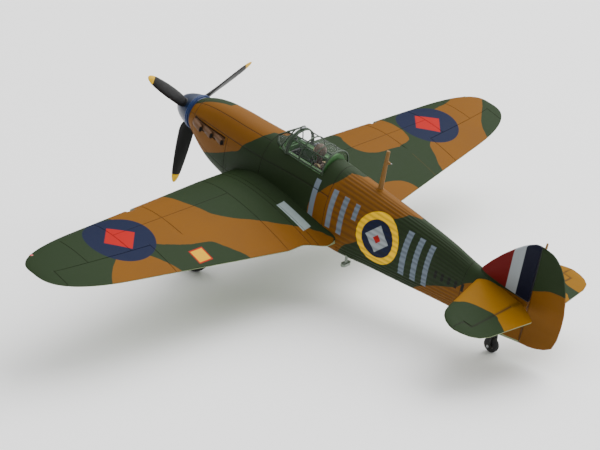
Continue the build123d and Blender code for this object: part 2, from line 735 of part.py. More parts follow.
with BuildPart() as control_column:
    rod((0, STICK_Y, TUB_DECK), (0, STICK_Y + 0.6, 2.7), 0.25)
    with BuildSketch(across(STICK_Y + 0.4)):
        with Locations((0, 3.1)):
            Circle(0.7)
            Circle(0.35, mode=Mode.SUBTRACT)
    extrude(amount=-0.4)

with BuildPart() as gunsight:
    with BuildSketch(Plane.XY.offset(7.6)):
        with Locations((0, SIGHT_Y)):
            Rectangle(0.9, 1.3)
    extrude(amount=1.5)
    rod((0, SIGHT_Y, 9.1), (0, SIGHT_Y, 9.7), 0.35)
    add(outer_half.part + outer_half.part.mirror(Plane.YZ), mode=Mode.SUBTRACT)

with BuildPart() as pilot_figure:
    with BuildSketch(Plane.XY.offset(TUB_DECK + SEAT_HEIGHT)):
        with Locations((0, CHEST_Y)):
            RectangleRounded(3.2, 2.6, 0.9)
    with BuildSketch(Plane.XY.offset(6.2)):
        with Locations((0, CHEST_Y)):
            RectangleRounded(4.6, 2.6, 1.2)
    loft()
    with Locations((0, HEAD_Y, HEAD_Z)):
        Sphere(HEAD_RADIUS)
    rod((0, HEAD_Y + 0.3, 6.0), (0, HEAD_Y + 0.1, HEAD_Z - 0.8), 0.9)
    for side in (1, -1):
        rod((side * 1.75, HEAD_Y + 0.2, 5.4), (side * 0.9, STICK_Y + 1.9, 3.6), 0.55)
        rod((side * 0.95, HEAD_Y, 0.75), (side * 1.2, STICK_Y + 1.4, 1.3), 0.75)

with BuildPart() as spine:
    add(outer_half.part + outer_half.part.mirror(Plane.YZ))
    with BuildSketch(across(COCKPIT_TAIL)):
        Rectangle(40, 60)
    extrude(amount=-10, mode=Mode.INTERSECT)

with BuildPart() as hood:
    with BuildSketch(across(HOOD_NOSE)):
        with BuildLine():
            arch = Spline((HOOD_HALF, SILL), (HOOD_HALF - 0.35, 9.6), (2.6, 12.0), (0, HOOD_TOP),
                          (-2.6, 12.0), (-HOOD_HALF + 0.35, 9.6), (-HOOD_HALF, SILL))
            Line(arch @ 1, arch @ 0)
        make_face()
    extrude(amount=-(HOOD_TAIL - HOOD_NOSE))
    with BuildSketch(across(HOOD_NOSE - 1)):
        with BuildLine():
            arch = Spline((HOOD_HALF - GLAZING, SILL - 0.1), (HOOD_HALF - GLAZING - 0.4, 9.5),
                          (2.3, 11.6), (0, HOOD_TOP - GLAZING), (-2.3, 11.6),
                          (-HOOD_HALF + GLAZING + 0.4, 9.5), (-HOOD_HALF + GLAZING, SILL - 0.1))
            Line(arch @ 1, arch @ 0)
        make_face()
    extrude(amount=-(HOOD_TAIL - HOOD_NOSE + 2), mode=Mode.SUBTRACT)
    add(spine.part, mode=Mode.SUBTRACT)

with BuildPart() as windscreen:
    with BuildSketch(across(SCREEN_NOSE)):
        with BuildLine():
            port_side = list(SCREEN_FACES)
            starboard_side = [(-x, z) for x, z in reversed(SCREEN_FACES)]
            Polyline(*port_side, *starboard_side, port_side[0])
        make_face()
    extrude(amount=-(HOOD_NOSE - SEAM - SCREEN_NOSE))
    split(bisect_by=Plane(origin=(0, 38.3, 8.3), z_dir=(0, -0.62, 0.78)), keep=Keep.BOTTOM)
    for side in (1, -1):
        split(bisect_by=Plane(origin=(side * 4.7, 46.0, 7.0), z_dir=(side * 0.87, -0.42, 0.26)),
              keep=Keep.BOTTOM)
    offset(amount=-GLAZING, openings=[windscreen.faces().sort_by(Axis.Y)[-1],
                                      windscreen.faces().sort_by(Axis.Z)[0]])
    add(outer_half.part + outer_half.part.mirror(Plane.YZ), mode=Mode.SUBTRACT)

with BuildPart() as mirror_bar:
    with BuildSketch(Plane.XY.offset(MIRROR_Z)):
        with Locations((0, MIRROR_Y)):
            Rectangle(0.5, 0.5)
    extrude(amount=0.5)
    with BuildSketch(Plane.XY.offset(MIRROR_Z + 0.45)):
        with Locations((0, MIRROR_Y)):
            RectangleRounded(2.3, 0.8, 0.35)
    extrude(amount=0.6)

# --- small fittings ----------------------------------------------------------------------------
with BuildPart() as pitot_head:
    rod((PITOT_X, 47.5, -5.2), (PITOT_X, 46.9, -8.4), 0.42)
    rod((PITOT_X, 43.6, -8.1), (PITOT_X, 49.4, -8.3), 0.36)
    add(wing_cutter.part, mode=Mode.SUBTRACT)

with BuildPart() as footstep:
    rod((STEP_X - 0.3, STEP_Y - 0.5, -9.0), (STEP_X, STEP_Y, STEP_Z + 0.7), 0.35)
    with BuildSketch(Plane.XY.offset(STEP_Z)):
        with Locations((STEP_X, STEP_Y)):
            SlotOverall(3.0, 1.4)
            SlotOverall(1.9, 0.5, mode=Mode.SUBTRACT)
    extrude(amount=0.8)
    add(outer_half.part, mode=Mode.SUBTRACT)

radiator_nose, radiator_tail = RADIATOR_SECTIONS[0][0], RADIATOR_SECTIONS[-1][0]
with BuildPart() as radiator_housing:
    for y, half_width, low in RADIATOR_SECTIONS:
        with BuildSketch(across(y)):
            with Locations((0, low)):
                Rectangle(2 * half_width, 6.6, align=(Align.CENTER, Align.MIN))
    loft()
    mouths = ((radiator_nose, -1, -15.6, 6.6, 2.7), (radiator_tail, 1, -13.6, 5.8, 0.8))
    for y, way, low, width, height in mouths:
        with BuildSketch(across(y)):
            with Locations((0, low)):
                Rectangle(width, height, align=(Align.CENTER, Align.MIN))
        extrude(amount=way * 2.0, mode=Mode.SUBTRACT)
    add(outer_half.part + outer_half.part.mirror(Plane.YZ), mode=Mode.SUBTRACT)

with BuildPart() as radiator_core:
    with BuildSketch(across(radiator_nose + 1.0)):
        with Locations((0, -15.6)):
            Rectangle(6.6, 2.6, align=(Align.CENTER, Align.MIN))
    extrude(amount=-1.0)

intake_nose = INTAKE_SECTIONS[0][0]
with BuildPart() as carburettor_intake:
    for y, half_width, low in INTAKE_SECTIONS:
        with BuildSketch(across(y)):
            with Locations((0, low)):
                RectangleRounded(2 * half_width, 3.0, 0.5, align=(Align.CENTER, Align.MIN))
    loft()
    with BuildSketch(across(intake_nose)):
        with Locations((0, -13.8)):
            Rectangle(1.6, 1.2, align=(Align.CENTER, Align.MIN))
    extrude(amount=-1.2, mode=Mode.SUBTRACT)
    add(outer_half.part + outer_half.part.mirror(Plane.YZ), mode=Mode.SUBTRACT)

pieces = {
    "fuselage_port_half": fuselage_port_half,
    "fuselage_starboard_half": fuselage_starboard_half,
    "wing": wing,
    "tailplane_port": tailplane_port,
    "tailplane_starboard": tailplane_starboard,
    "rudder": rudder,
    "rudder_aerial_post": rudder_aerial_post,
    "exhaust_port": exhaust_port,
    "exhaust_starboard": exhaust_starboard,
    "assembly_screws": assembly_screws,
    "propeller_hub": propeller_hub,
    "spinner": spinner,
    "spinner_backplate": spinner_backplate,
    "propeller_shaft": propeller_shaft,
    "shaft_collar": shaft_collar,
    "nose_bush": nose_bush,
    "tail_fork": tail_fork,
    "tail_axle": tail_axle,
    "tail_wheel_hub": tail_hub,
    "tail_wheel_tyre": tail_tyre,
    "cockpit_tub": cockpit_tub,
    "seat": seat,
    "headrest_plate": headrest_plate,
    "instrument_panel": instrument_panel,
    "control_column": control_column,
    "gunsight": gunsight,
    "pilot_figure": pilot_figure,
    "hood": hood,
    "windscreen": windscreen,
    "rear_view_mirror": mirror_bar,
    "antenna_mast": antenna_mast,
    "pitot_head": pitot_head,
    "footstep": footstep,
    "radiator_housing": radiator_housing,
    "radiator_core": radiator_core,
    "carburettor_intake": carburettor_intake,
}
for word in ("port", "starboard"):
    pieces[f"landing_light_{word}"] = landing_lights[word]
    pieces[f"nav_light_{word}"] = nav_lights[word]
    pieces[f"main_leg_{word}"] = legs[word]
    pieces[f"main_axle_{word}"] = axles[word]
    pieces[f"drag_strut_{word}"] = struts[word]
    pieces[f"gear_door_{word}"] = doors[word]
    pieces[f"wheel_hub_{word}"] = hubs[word]
    pieces[f"tyre_{word}"] = tyres[word]
for word, blade in blades.items():
    pieces[f"propeller_blade_{word}"] = blade

for name, piece in pieces.items():
    finish(piece, name)
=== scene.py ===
import math

import bmesh
import bpy
import numpy as np
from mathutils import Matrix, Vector


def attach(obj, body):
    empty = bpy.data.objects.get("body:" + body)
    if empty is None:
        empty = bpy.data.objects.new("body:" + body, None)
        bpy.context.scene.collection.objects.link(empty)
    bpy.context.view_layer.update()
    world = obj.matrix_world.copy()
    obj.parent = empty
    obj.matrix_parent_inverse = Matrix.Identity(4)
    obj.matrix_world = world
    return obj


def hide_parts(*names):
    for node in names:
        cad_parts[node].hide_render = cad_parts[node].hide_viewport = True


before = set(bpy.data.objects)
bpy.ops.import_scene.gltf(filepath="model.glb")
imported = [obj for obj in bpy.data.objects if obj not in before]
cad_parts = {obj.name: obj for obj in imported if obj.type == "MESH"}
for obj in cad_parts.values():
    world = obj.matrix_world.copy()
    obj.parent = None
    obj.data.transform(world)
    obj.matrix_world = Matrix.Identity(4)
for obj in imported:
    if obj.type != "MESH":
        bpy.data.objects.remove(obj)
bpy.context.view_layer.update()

# The airframe is drawn in millimetres as it lies on the drawing board: +X to port, +Y aft from
# the spinner tip, +Z up from the thrust line. stand() then sets it on its three wheels.
NOSE_UP = math.radians(12.2)
COS_UP, SIN_UP = math.cos(NOSE_UP), math.sin(NOSE_UP)
WHEEL_DROP = 38.72
CENTRE_SHIFT = 65.591

HALF_SPAN, CENTRE_SECTION, TIP_START = 84.65, 19.0, 61.6
WING_NOSE, WING_TAIL, SWEEP_NOSE, SWEEP_TAIL = 28.2, 62.9, 0.0972, 0.1651
TIP_Y, WING_Z = 42.1, -7.1
DIHEDRAL, INCIDENCE = math.tan(math.radians(3.42)), math.tan(math.radians(2.07))
ROOT_THICKNESS, TIP_THICKNESS, CAMBER = 0.185, 0.115, 0.022

# station, top, bottom, half width, height of the widest point, roundness above and below
STATIONS = np.array([
    (8.8, 4.7, -4.9, 4.7, -0.1, 2.0, 2.0),
    (12.0, 6.1, -7.1, 5.5, -0.6, 2.1, 2.2),
    (16.0, 7.1, -9.3, 6.1, -1.0, 2.2, 2.5),
    (22.0, 7.7, -11.0, 6.5, -1.4, 2.2, 2.8),
    (30.0, 7.9, -11.8, 6.8, -1.6, 2.2, 3.0),
    (38.0, 8.3, -12.2, 6.9, -1.6, 2.2, 3.0),
    (48.0, 9.6, -12.5, 6.9, -1.6, 2.2, 3.0),
    (58.0, 10.4, -12.7, 6.8, -1.5, 2.1, 2.9),
    (66.0, 10.1, -12.7, 6.5, -1.5, 2.0, 2.7),
    (76.0, 9.3, -11.5, 5.9, -1.4, 2.0, 2.6),
    (87.0, 8.3, -10.4, 5.0, -1.3, 2.0, 2.6),
    (98.0, 7.0, -9.3, 4.1, -1.2, 2.0, 2.5),
    (107.5, 5.1, -8.7, 3.2, -1.2, 2.0, 2.4),
    (115.0, 4.2, -8.9, 2.2, -1.5, 2.0, 2.3),
    (122.7, 3.6, -7.7, 0.9, -2.0, 2.0, 2.0),
])
NOSE_RING, HINGE_Y = 8.8, 122.7
SILL, COCKPIT_NOSE, COCKPIT_TAIL = 7.0, 41.5, 57.9
PROP_Y = 5.0
BLADE_TURNS = {"a": 52.2, "b": -67.8, "c": 172.2}
TRACK_HALF, MAIN_AXLE_Y, MAIN_RADIUS = 16.6, 28.55, 5.5
TAIL_AXLE_Y, TAIL_RADIUS = 115.42, 2.05
MARK_X, MARK_Y, MARK_RADIUS = 57.4, 41.7, 9.05
LIGHT_X, NAV_X = 45.4, 80.2
SIDES = ((1, "port"), (-1, "starboard"))
BELLY_NOSE, BELLY_TAIL, BELLY_TOP = 27.0, 66.5, -7.2
WELL_X, WELL_Y, WELL_RADIUS, WELL_CEILING = 7.4, 35.0, 6.0, -6.0
SOCKET_Y, SOCKET_RADIUS, SOCKET_TOP = 44.2, 1.5, -7.5
SCREW_STATIONS, SCREW_RADIUS, SCREW_SEAT = (30.5, 64.4), 1.35, -10.6
FIN_HALF, RUDDER_HALF, TAILPLANE_Z = 0.75, 0.6, 2.8
SPINNER_END, MAST_FOOT, MAST_TOP, MAST_Y = 7.3, 7.0, 20.6, 73.0


def stand(points):
    """Airframe millimetres to metres on the table."""
    p = np.asarray(points, float).reshape(-1, 3)
    aft = p[:, 1] * COS_UP + p[:, 2] * SIN_UP - CENTRE_SHIFT
    rise = -p[:, 1] * SIN_UP + p[:, 2] * COS_UP + WHEEL_DROP
    return np.stack([p[:, 0], aft, rise], 1) / 1000


def height_over_table(y, height):
    """Airframe height of a point at station y that stands this far above the table."""
    return (height - WHEEL_DROP + y * SIN_UP) / COS_UP


MAIN_AXLE_Z = height_over_table(MAIN_AXLE_Y, MAIN_RADIUS)
TAIL_AXLE_Z = height_over_table(TAIL_AXLE_Y, TAIL_RADIUS)


# ------------------------------------------------------------------ paint and shader maths
def colour(red, green, blue):
    """A screen colour of 0 to 255 as the linear values that a shader takes."""
    return tuple((c / 255 / 12.92 if c <= 10 else ((c / 255 + 0.055) / 1.055) ** 2.4)
                 for c in (red, green, blue)) + (1.0,)


class Wire:
    """One shader socket that arithmetic can be written with."""

    def __init__(self, paint, socket):
        self.paint, self.socket = paint, socket

    def _math(self, operation, *values, clamp=False):
        return self.paint.node("ShaderNodeMath", {"operation": operation, "use_clamp": clamp},
                               dict(enumerate(values)))

    def __add__(self, other):
        return self._math("ADD", self, other)

    def __radd__(self, other):
        return self._math("ADD", other, self)

    def __sub__(self, other):
        return self._math("SUBTRACT", self, other)

    def __rsub__(self, other):
        return self._math("SUBTRACT", other, self)

    def __mul__(self, other):
        return self._math("MULTIPLY", self, other)

    def __rmul__(self, other):
        return self._math("MULTIPLY", other, self)

    def __abs__(self):
        return self._math("ABSOLUTE", self)

    def __neg__(self):
        return self._math("MULTIPLY", self, -1.0)

    def above(self, edge, soft=0.08):
        """1 where this is over the edge, 0 where it is under, with a soft step between."""
        return self._math("MULTIPLY_ADD", self - edge, 0.5 / soft, 0.5, clamp=True)

    def over(self, other):
        """The larger of two masks."""
        return self._math("MAXIMUM", self, other)

    def under(self, other):
        """The smaller of two masks."""
        return self._math("MINIMUM", self, other)


class Paint:
    """A material with one Principled shader, and the nodes that feed it."""

    def __init__(self, name, rough=0.6, metal=0.0, **fixed):
        self.material = bpy.data.materials.new(name)
        self.material.use_nodes = True
        self.tree = self.material.node_tree
        self.tree.nodes.clear()
        self.output = self.tree.nodes.new("ShaderNodeOutputMaterial")
        self.shader = self.tree.nodes.new("ShaderNodeBsdfPrincipled")
        self.tree.links.new(self.shader.outputs[0], self.output.inputs[0])
        self.set("Roughness", rough)
        self.set("Metallic", metal)
        for socket, value in fixed.items():
            self.set(socket.replace("_", " "), value)

    def node(self, kind, settings=None, values=None, out=0):
        """Add a node, set it up, give its sockets values or links, and return one output."""
        made = self.tree.nodes.new(kind)
        for key, value in (settings or {}).items():
            setattr(made, key, value)
        for key, value in (values or {}).items():
            self.feed(made.inputs[key], value)
        return Wire(self, made.outputs[out])

    def feed(self, socket, value):
        if isinstance(value, Wire):
            self.tree.links.new(value.socket, socket)
        else:
            socket.default_value = value

    def set(self, socket, value):
        self.feed(self.shader.inputs[socket], value)

    def place(self):
        """Airframe position in millimetres: the point, and its x, y and z."""
        point = self.node("ShaderNodeTexCoord", out=3)
        moved = self.node("ShaderNodeMapping", None, {
            "Vector": point, "Scale": (1000, 1000, 1000), "Rotation": (NOSE_UP, 0, 0),
            "Location": (0, COS_UP * CENTRE_SHIFT + SIN_UP * WHEEL_DROP,
                         SIN_UP * CENTRE_SHIFT - COS_UP * WHEEL_DROP)})
        split = self.tree.nodes.new("ShaderNodeSeparateXYZ")
        self.tree.links.new(moved.socket, split.inputs[0])
        return moved, *(Wire(self, axis) for axis in split.outputs)

    def noise(self, point, scale, detail=3.0, rough=0.5):
        """Even noise about 0, from -0.5 to 0.5; scale is in waves per millimetre."""
        return self.node("ShaderNodeTexNoise", None, {
            "Vector": point, "Scale": scale, "Detail": detail, "Roughness": rough}) - 0.5

    def mix(self, mask, first, second):
        made = self.tree.nodes.new("ShaderNodeMix")
        made.data_type = "RGBA"
        for index, value in ((0, mask), (6, first), (7, second)):
            self.feed(made.inputs[index], value)
        return Wire(self, made.outputs[2])

    def shade(self, tint, gain):
        """Multiply a colour by a grey number near 1."""
        grey = self.node("ShaderNodeCombineXYZ", None, {0: gain, 1: gain, 2: gain})
        tint = tint if isinstance(tint, Wire) else tint[:3]
        return self.node("ShaderNodeVectorMath", {"operation": "MULTIPLY"}, {0: tint, 1: grey})

    def border(self, value, *points):
        """A curve through the given (value, result) points, as a function of value."""
        low, high = points[0][0], points[-1][0]
        results = [result for _, result in points]
        bottom, top = min(results), max(results)
        span = (top - bottom) or 1.0
        made = self.tree.nodes.new("ShaderNodeFloatCurve")
        made.mapping.extend = "HORIZONTAL"
        curve = made.mapping.curves[0]
        for _ in points[2:]:
            curve.points.new(0.5, 0.5)
        for knot, (at, result) in zip(curve.points, points):
            knot.location = ((at - low) / (high - low), (result - bottom) / span)
        made.mapping.update()
        self.feed(made.inputs["Value"], (value - low) * (1 / (high - low)))
        return Wire(self, made.outputs[0]) * span + bottom

    def attribute(self, name):
        return self.node("ShaderNodeAttribute", {"attribute_name": name}, out=2)

    def bump(self, height, distance=0.00005, strength=0.5):
        self.set("Normal", self.node("ShaderNodeBump", None, {
            "Height": height, "Distance": distance, "Strength": strength}))

    def between(self, value, low, high, soft=0.08):
        return value.above(low, soft).under(1 - value.above(high, soft))


GREEN, BROWN = colour(32, 46, 24), colour(108, 68, 10)
SKY, PALE = colour(126, 138, 104), colour(146, 154, 158)
BLUE, RED, YELLOW = colour(16, 24, 50), colour(158, 20, 15), colour(238, 188, 0)
CODE_GREY, WALK_GREY = colour(104, 116, 128), colour(138, 152, 152)


def patchy_paint_with_groove_shade(paint, point, tint, groove_shade_strength=0.75):
    """Brushed-on unevenness, painted shade darkening the engraved lines and the fabric hollows, and a matt,
    slightly patchy surface.
    """
    cloud = paint.noise(point, 0.09, 4.0)
    speck = paint.noise(point, 1.6, 3.0, 0.65)
    wash = paint.attribute("wash")
    tint = paint.shade(tint, 1.0 + 0.22 * cloud + 0.12 * speck)
    # Painted shade: the near-black colour(28, 26, 20) darkens the engraved lines and the sunken fabric, as
    # strongly as the mesh attribute says.
    tint = paint.mix(wash * groove_shade_strength, tint, colour(28, 26, 20))
    paint.set("Base Color", tint)
    paint.set("Roughness", 0.62 + 0.18 * speck + 0.1 * cloud)
    paint.bump(paint.noise(point, 5.0, 2.0), 0.00003, 0.35)


def wing_paint():
    """Two-colour upper surfaces with markings, pale underside."""
    paint = Paint("wing_camouflage", Specular_IOR_Level=0.08)
    point, x, y, z = paint.place()
    ragged = paint.noise(point, 0.35, 3.0)
    fore = y + 0.5 * ragged
    span = abs(x)
    out = span + 0.5 * ragged

    inner = paint.border(fore, (27, 34), (31, 33.5), (36, 32.5), (40, 31), (44, 29.5), (47, 27),
                         (51.5, 20), (55, 15), (57.5, 11.8), (60, 9), (70, 6))
    outer = paint.border(fore, (27, 54), (34, 53), (46, 52), (47.7, 50.6), (49.5, 47), (51.5, 42),
                         (53, 36.5), (56, 34), (60.5, 31), (70, 30))
    near = paint.border(fore, (45, 60), (50.5, 55), (53.5, 53), (57.5, 51), (62, 50))
    far = paint.border(fore, (45, 60), (48.5, 64.5), (50.5, 67), (54, 70), (62, 74))
    port = (out.above(inner).under(1 - out.above(outer))).over(
        out.above(near).under(1 - out.above(far)).under(fore.above(46.5)))

    a_near = paint.border(fore, (27, 29.5), (33, 30), (36, 28.7), (40, 28), (42.5, 29), (44.5, 31.5),
                          (45.4, 35), (46.2, 41), (50, 42))
    a_far = paint.border(fore, (27, 47.5), (36, 48), (40, 47.8), (42.5, 47.3), (44.5, 46.3),
                         (45.4, 44.5), (46.2, 41), (50, 42))
    b_near = paint.border(fore, (27, 88), (34, 76), (35.5, 74.5), (36.5, 72), (37.2, 66), (39, 57),
                          (46, 55), (49.5, 50), (53, 48), (56, 46.5), (58.5, 45.5), (64, 45))
    b_far = paint.border(fore, (27, 88), (38, 87), (40, 84), (41.5, 82), (44, 79), (47, 75),
                         (50.5, 71.5), (54, 69.5), (64, 66))
    root = paint.border(fore, (48, 0), (53, 6), (54.6, 20), (56, 29), (57.5, 31.5), (60, 33), (70, 34))
    starboard = out.above(a_near).under(1 - out.above(a_far)).over(
        out.above(b_near).under(1 - out.above(b_far))).over(
        (1 - out.above(root)).under(fore.above(50)))

    on_port = x.above(0.0, 0.01)
    brown = port.under(on_port).over(starboard.under(1 - on_port))
    tint = paint.mix(brown, GREEN, BROWN)

    dx, dy = span - MARK_X, y - MARK_Y
    disc = (dx * dx + dy * dy)
    tint = paint.mix(1 - disc.above(MARK_RADIUS ** 2, 1.2), tint, BLUE)
    tint = paint.mix(1 - (abs(dx) + abs(dy)).above(4.9, 0.12), tint, RED)

    px, py = abs(x - 42.7), abs(y - 55.4)
    patch = px.over(py)
    tint = paint.mix(1 - patch.above(2.2), tint, RED)
    tint = paint.mix(1 - patch.above(1.85), tint, colour(204, 152, 0))
    walk = paint.between(span, 8.3, 10.9).under(paint.between(y, 49.6, 59.9))
    tint = paint.mix(walk, tint, WALK_GREY)

    below = paint.attribute("under")
    tint = paint.mix(below.above(0.5, 0.02), tint, SKY)
    # Half-strength painted shade in the wing's engraved lines.
    patchy_paint_with_groove_shade(paint, point, tint, 0.5)
    return paint.material


def fuselage_paint():
    """Fuselage and fin: camouflage bands, ringed mark, plain bars, fin bands, pale belly."""
    paint = Paint("fuselage_camouflage", Specular_IOR_Level=0.14)
    point, x, y, z = paint.place()
    ragged = paint.noise(point, 0.3, 3.0)
    on_port = x.above(0.6, 0.6)
    fore = y + 0.6 * ragged - 3.0 * (1 - on_port)
    nose = paint.border(z, (-12, 10), (-8, 14), (-6, 17.5), (-4, 21.5), (-2, 25), (-0.5, 27.5),
                        (1, 30), (3, 31), (5, 33), (7, 35), (9, 37.5), (14, 40))
    middle = paint.border(z, (-13, 61), (-8, 59), (-6, 57.5), (-3, 56.5), (0, 57), (2, 58),
                          (4, 59.5), (6, 61), (8, 63), (9.5, 64), (14, 66))
    rear = paint.border(z, (-13, 66), (-9, 68), (-7, 69.5), (-5, 72), (-3, 74), (0, 76.5),
                        (5, 80), (8.5, 84.5), (14, 88))
    low = paint.border(z, (-12, 88), (-9, 91), (-7, 93), (-5, 96), (-3, 100), (-1, 104), (1, 106),
                       (2.5, 109), (4, 113), (5, 140), (22, 140))
    cap = (1 - (x + 0.25 * (y - 14)).above(1.6, 0.15)).under(1 - (fore + 3.0 * (1 - on_port)).above(19.5))
    brown = (1 - fore.above(nose)).under(1 - cap.under(z.above(3.0)))
    brown = brown.over(fore.above(middle).under(1 - fore.above(rear)))
    brown = brown.over(fore.above(low))
    tint = paint.mix(brown, GREEN, BROWN)

    dy, dz = y - 79.1, (z + 0.2) * 0.95
    disc = dy * dy + dz * dz
    tint = paint.mix(1 - disc.above(6.5 ** 2, 0.9), tint, YELLOW)
    tint = paint.mix(1 - disc.above(4.75 ** 2, 0.7), tint, BLUE)
    tint = paint.mix(1 - (abs(dy) + abs(dz)).above(3.6, 0.1), tint, PALE)
    tint = paint.mix(1 - (abs(dy) + abs(dz)).above(1.2, 0.1), tint, RED)

    bars = None
    for at, wide, base, head in ((57.6, 0.8, -4.4, 6.1), (63.6, 0.75, -4.6, 5.9), (67.3, 0.8, -4.8, 5.6),
                                 (71.0, 0.7, 1.2, 5.4), (87.6, 0.85, -6.2, 5.8), (91.2, 0.8, -6.1, 5.6),
                                 (94.6, 0.75, -5.9, 5.3)):
        bar = (1 - abs(y - at).above(wide)).under(paint.between(z, base, head))
        bars = bar if bars is None else bars.over(bar)
    tint = paint.mix(bars, tint, CODE_GREY)
    dash = paint.node("ShaderNodeMath", {"operation": "PINGPONG"}, {0: y - 96.6, 1: 1.0})
    row = paint.between(y, 97.0, 106.2).under(paint.between(z - 0.05 * (y - 101.5), -1.7, 0.4))
    tint = paint.mix(row.under(dash.above(0.6)), tint, colour(24, 26, 22))

    spine = paint.border(y, (104, 6.6), (108, 5.5), (112, 4.9), (116, 4.6), (123, 4.3))
    fin = z.above(spine).under(y.above(105))
    rest = fin.under(1 - y.above(HINGE_Y + 0.05, 0.02))
    tint = paint.mix(rest, tint, colour(98, 14, 14))
    tint = paint.mix(rest.under(y.above(115.8)), tint, PALE)
    tint = paint.mix(rest.under(y.above(118.9)), tint, colour(12, 16, 34))
    back = paint.border(y, (122, 7.2), (125, 8.6), (127.5, 9.8), (130, 10.3), (134, 10.4))
    aft = y.above(HINGE_Y + 0.05, 0.02)
    tint = paint.mix(aft, tint, BROWN)
    tint = paint.mix(aft.under((z + 0.4 * ragged).above(back)), tint, GREEN)

    belly = paint.border(y, (8, -4.2), (12, -6.2), (18, -9.0), (26, -11.0), (50, -12.0), (66, -11.9),
                         (88, -9.6), (104, -8.1), (116, -7.6), (126, -6.4))
    tint = paint.mix((1 - (z + 0.3 * ragged).above(belly)).under(1 - y.above(HINGE_Y, 0.02)), tint, SKY)
    patchy_paint_with_groove_shade(paint, point, tint)
    return paint.material


def tail_paint():
    """Tailplanes: yellower brown inboard, green outboard, pale underneath."""
    paint = Paint("tailplane_camouflage", Specular_IOR_Level=0.08)
    point, x, y, z = paint.place()
    ragged = paint.noise(point, 0.35, 3.0)
    edge = paint.border(y + 0.4 * ragged, (107, 15.2), (111.5, 14.3), (113.5, 12.6), (116, 11.6), (118.5, 11),
                        (121, 10.6), (123, 11.6), (125.5, 13), (128, 15))
    port = 1 - x.above(edge)
    left = paint.border(y + 0.4 * ragged, (107, 14.5), (115, 15), (120, 16.5), (123, 15.7), (128, 16.2))
    right = paint.border(y + 0.4 * ragged, (107, 9), (118, 10.5), (124, 12.6), (126, 11.6), (128, 10))
    starboard = (-x).above(left).over(1 - (-x).above(right))
    brown = port.under(x.above(0.0, 0.01)).over(starboard.under(1 - x.above(0.0, 0.01)))
    tint = paint.mix(brown, GREEN, colour(124, 84, 0))
    tint = paint.mix(paint.attribute("under").above(0.5, 0.02), tint, SKY)
    patchy_paint_with_groove_shade(paint, point, tint)
    return paint.material


def plain_paint(name, tint, rough=0.6, metal=0.0, cloud=0.2, grain=2.0, bump=0.00003, **fixed):
    """A single finish with uneven shade, gloss and surface."""
    paint = Paint(name, rough, metal, **fixed)
    point, *_ = paint.place()
    patch, speck = paint.noise(point, 0.25 * grain, 3.0), paint.noise(point, 2.2 * grain, 3.0, 0.6)
    paint.set("Base Color", paint.shade(tint, 1.0 + cloud * patch + 0.6 * cloud * speck))
    paint.set("Roughness", rough + 0.25 * speck + 0.1 * patch)
    paint.bump(speck, bump, 0.4)
    return paint.material


def blade_paint():
    """Satin black blades with yellow tips and speckled unevenness."""
    paint = Paint("blade_black_yellow_tips", 0.42, Specular_IOR_Level=0.25)
    point, x, y, z = paint.place()
    reach = paint.node("ShaderNodeMath", {"operation": "SQRT"}, {0: x * x + z * z})
    speck = paint.noise(point, 1.4, 4.0, 0.6)
    tint = paint.mix((reach + 0.3 * speck).above(20.3, 0.1), colour(8, 8, 8), colour(214, 168, 0))
    paint.set("Base Color", paint.shade(tint, 1.0 + 0.5 * speck))
    paint.set("Roughness", 0.45 + 0.3 * speck)
    paint.bump(speck, 0.00003, 0.4)
    return paint.material


def clear_plastic(name, tint, rough=0.04):
    """Thin clear moulding: a mostly transparent glossy skin."""
    paint = Paint(name, rough, 0.0, IOR=1.49)
    point, *_ = paint.place()
    smear = paint.noise(point, 0.25, 2.0)
    paint.set("Base Color", paint.shade(tint, 1.0 + 0.1 * smear))
    paint.set("Roughness", rough + 0.08 * smear)
    paint.set("Alpha", 0.022 + 0.02 * smear)
    return paint.material


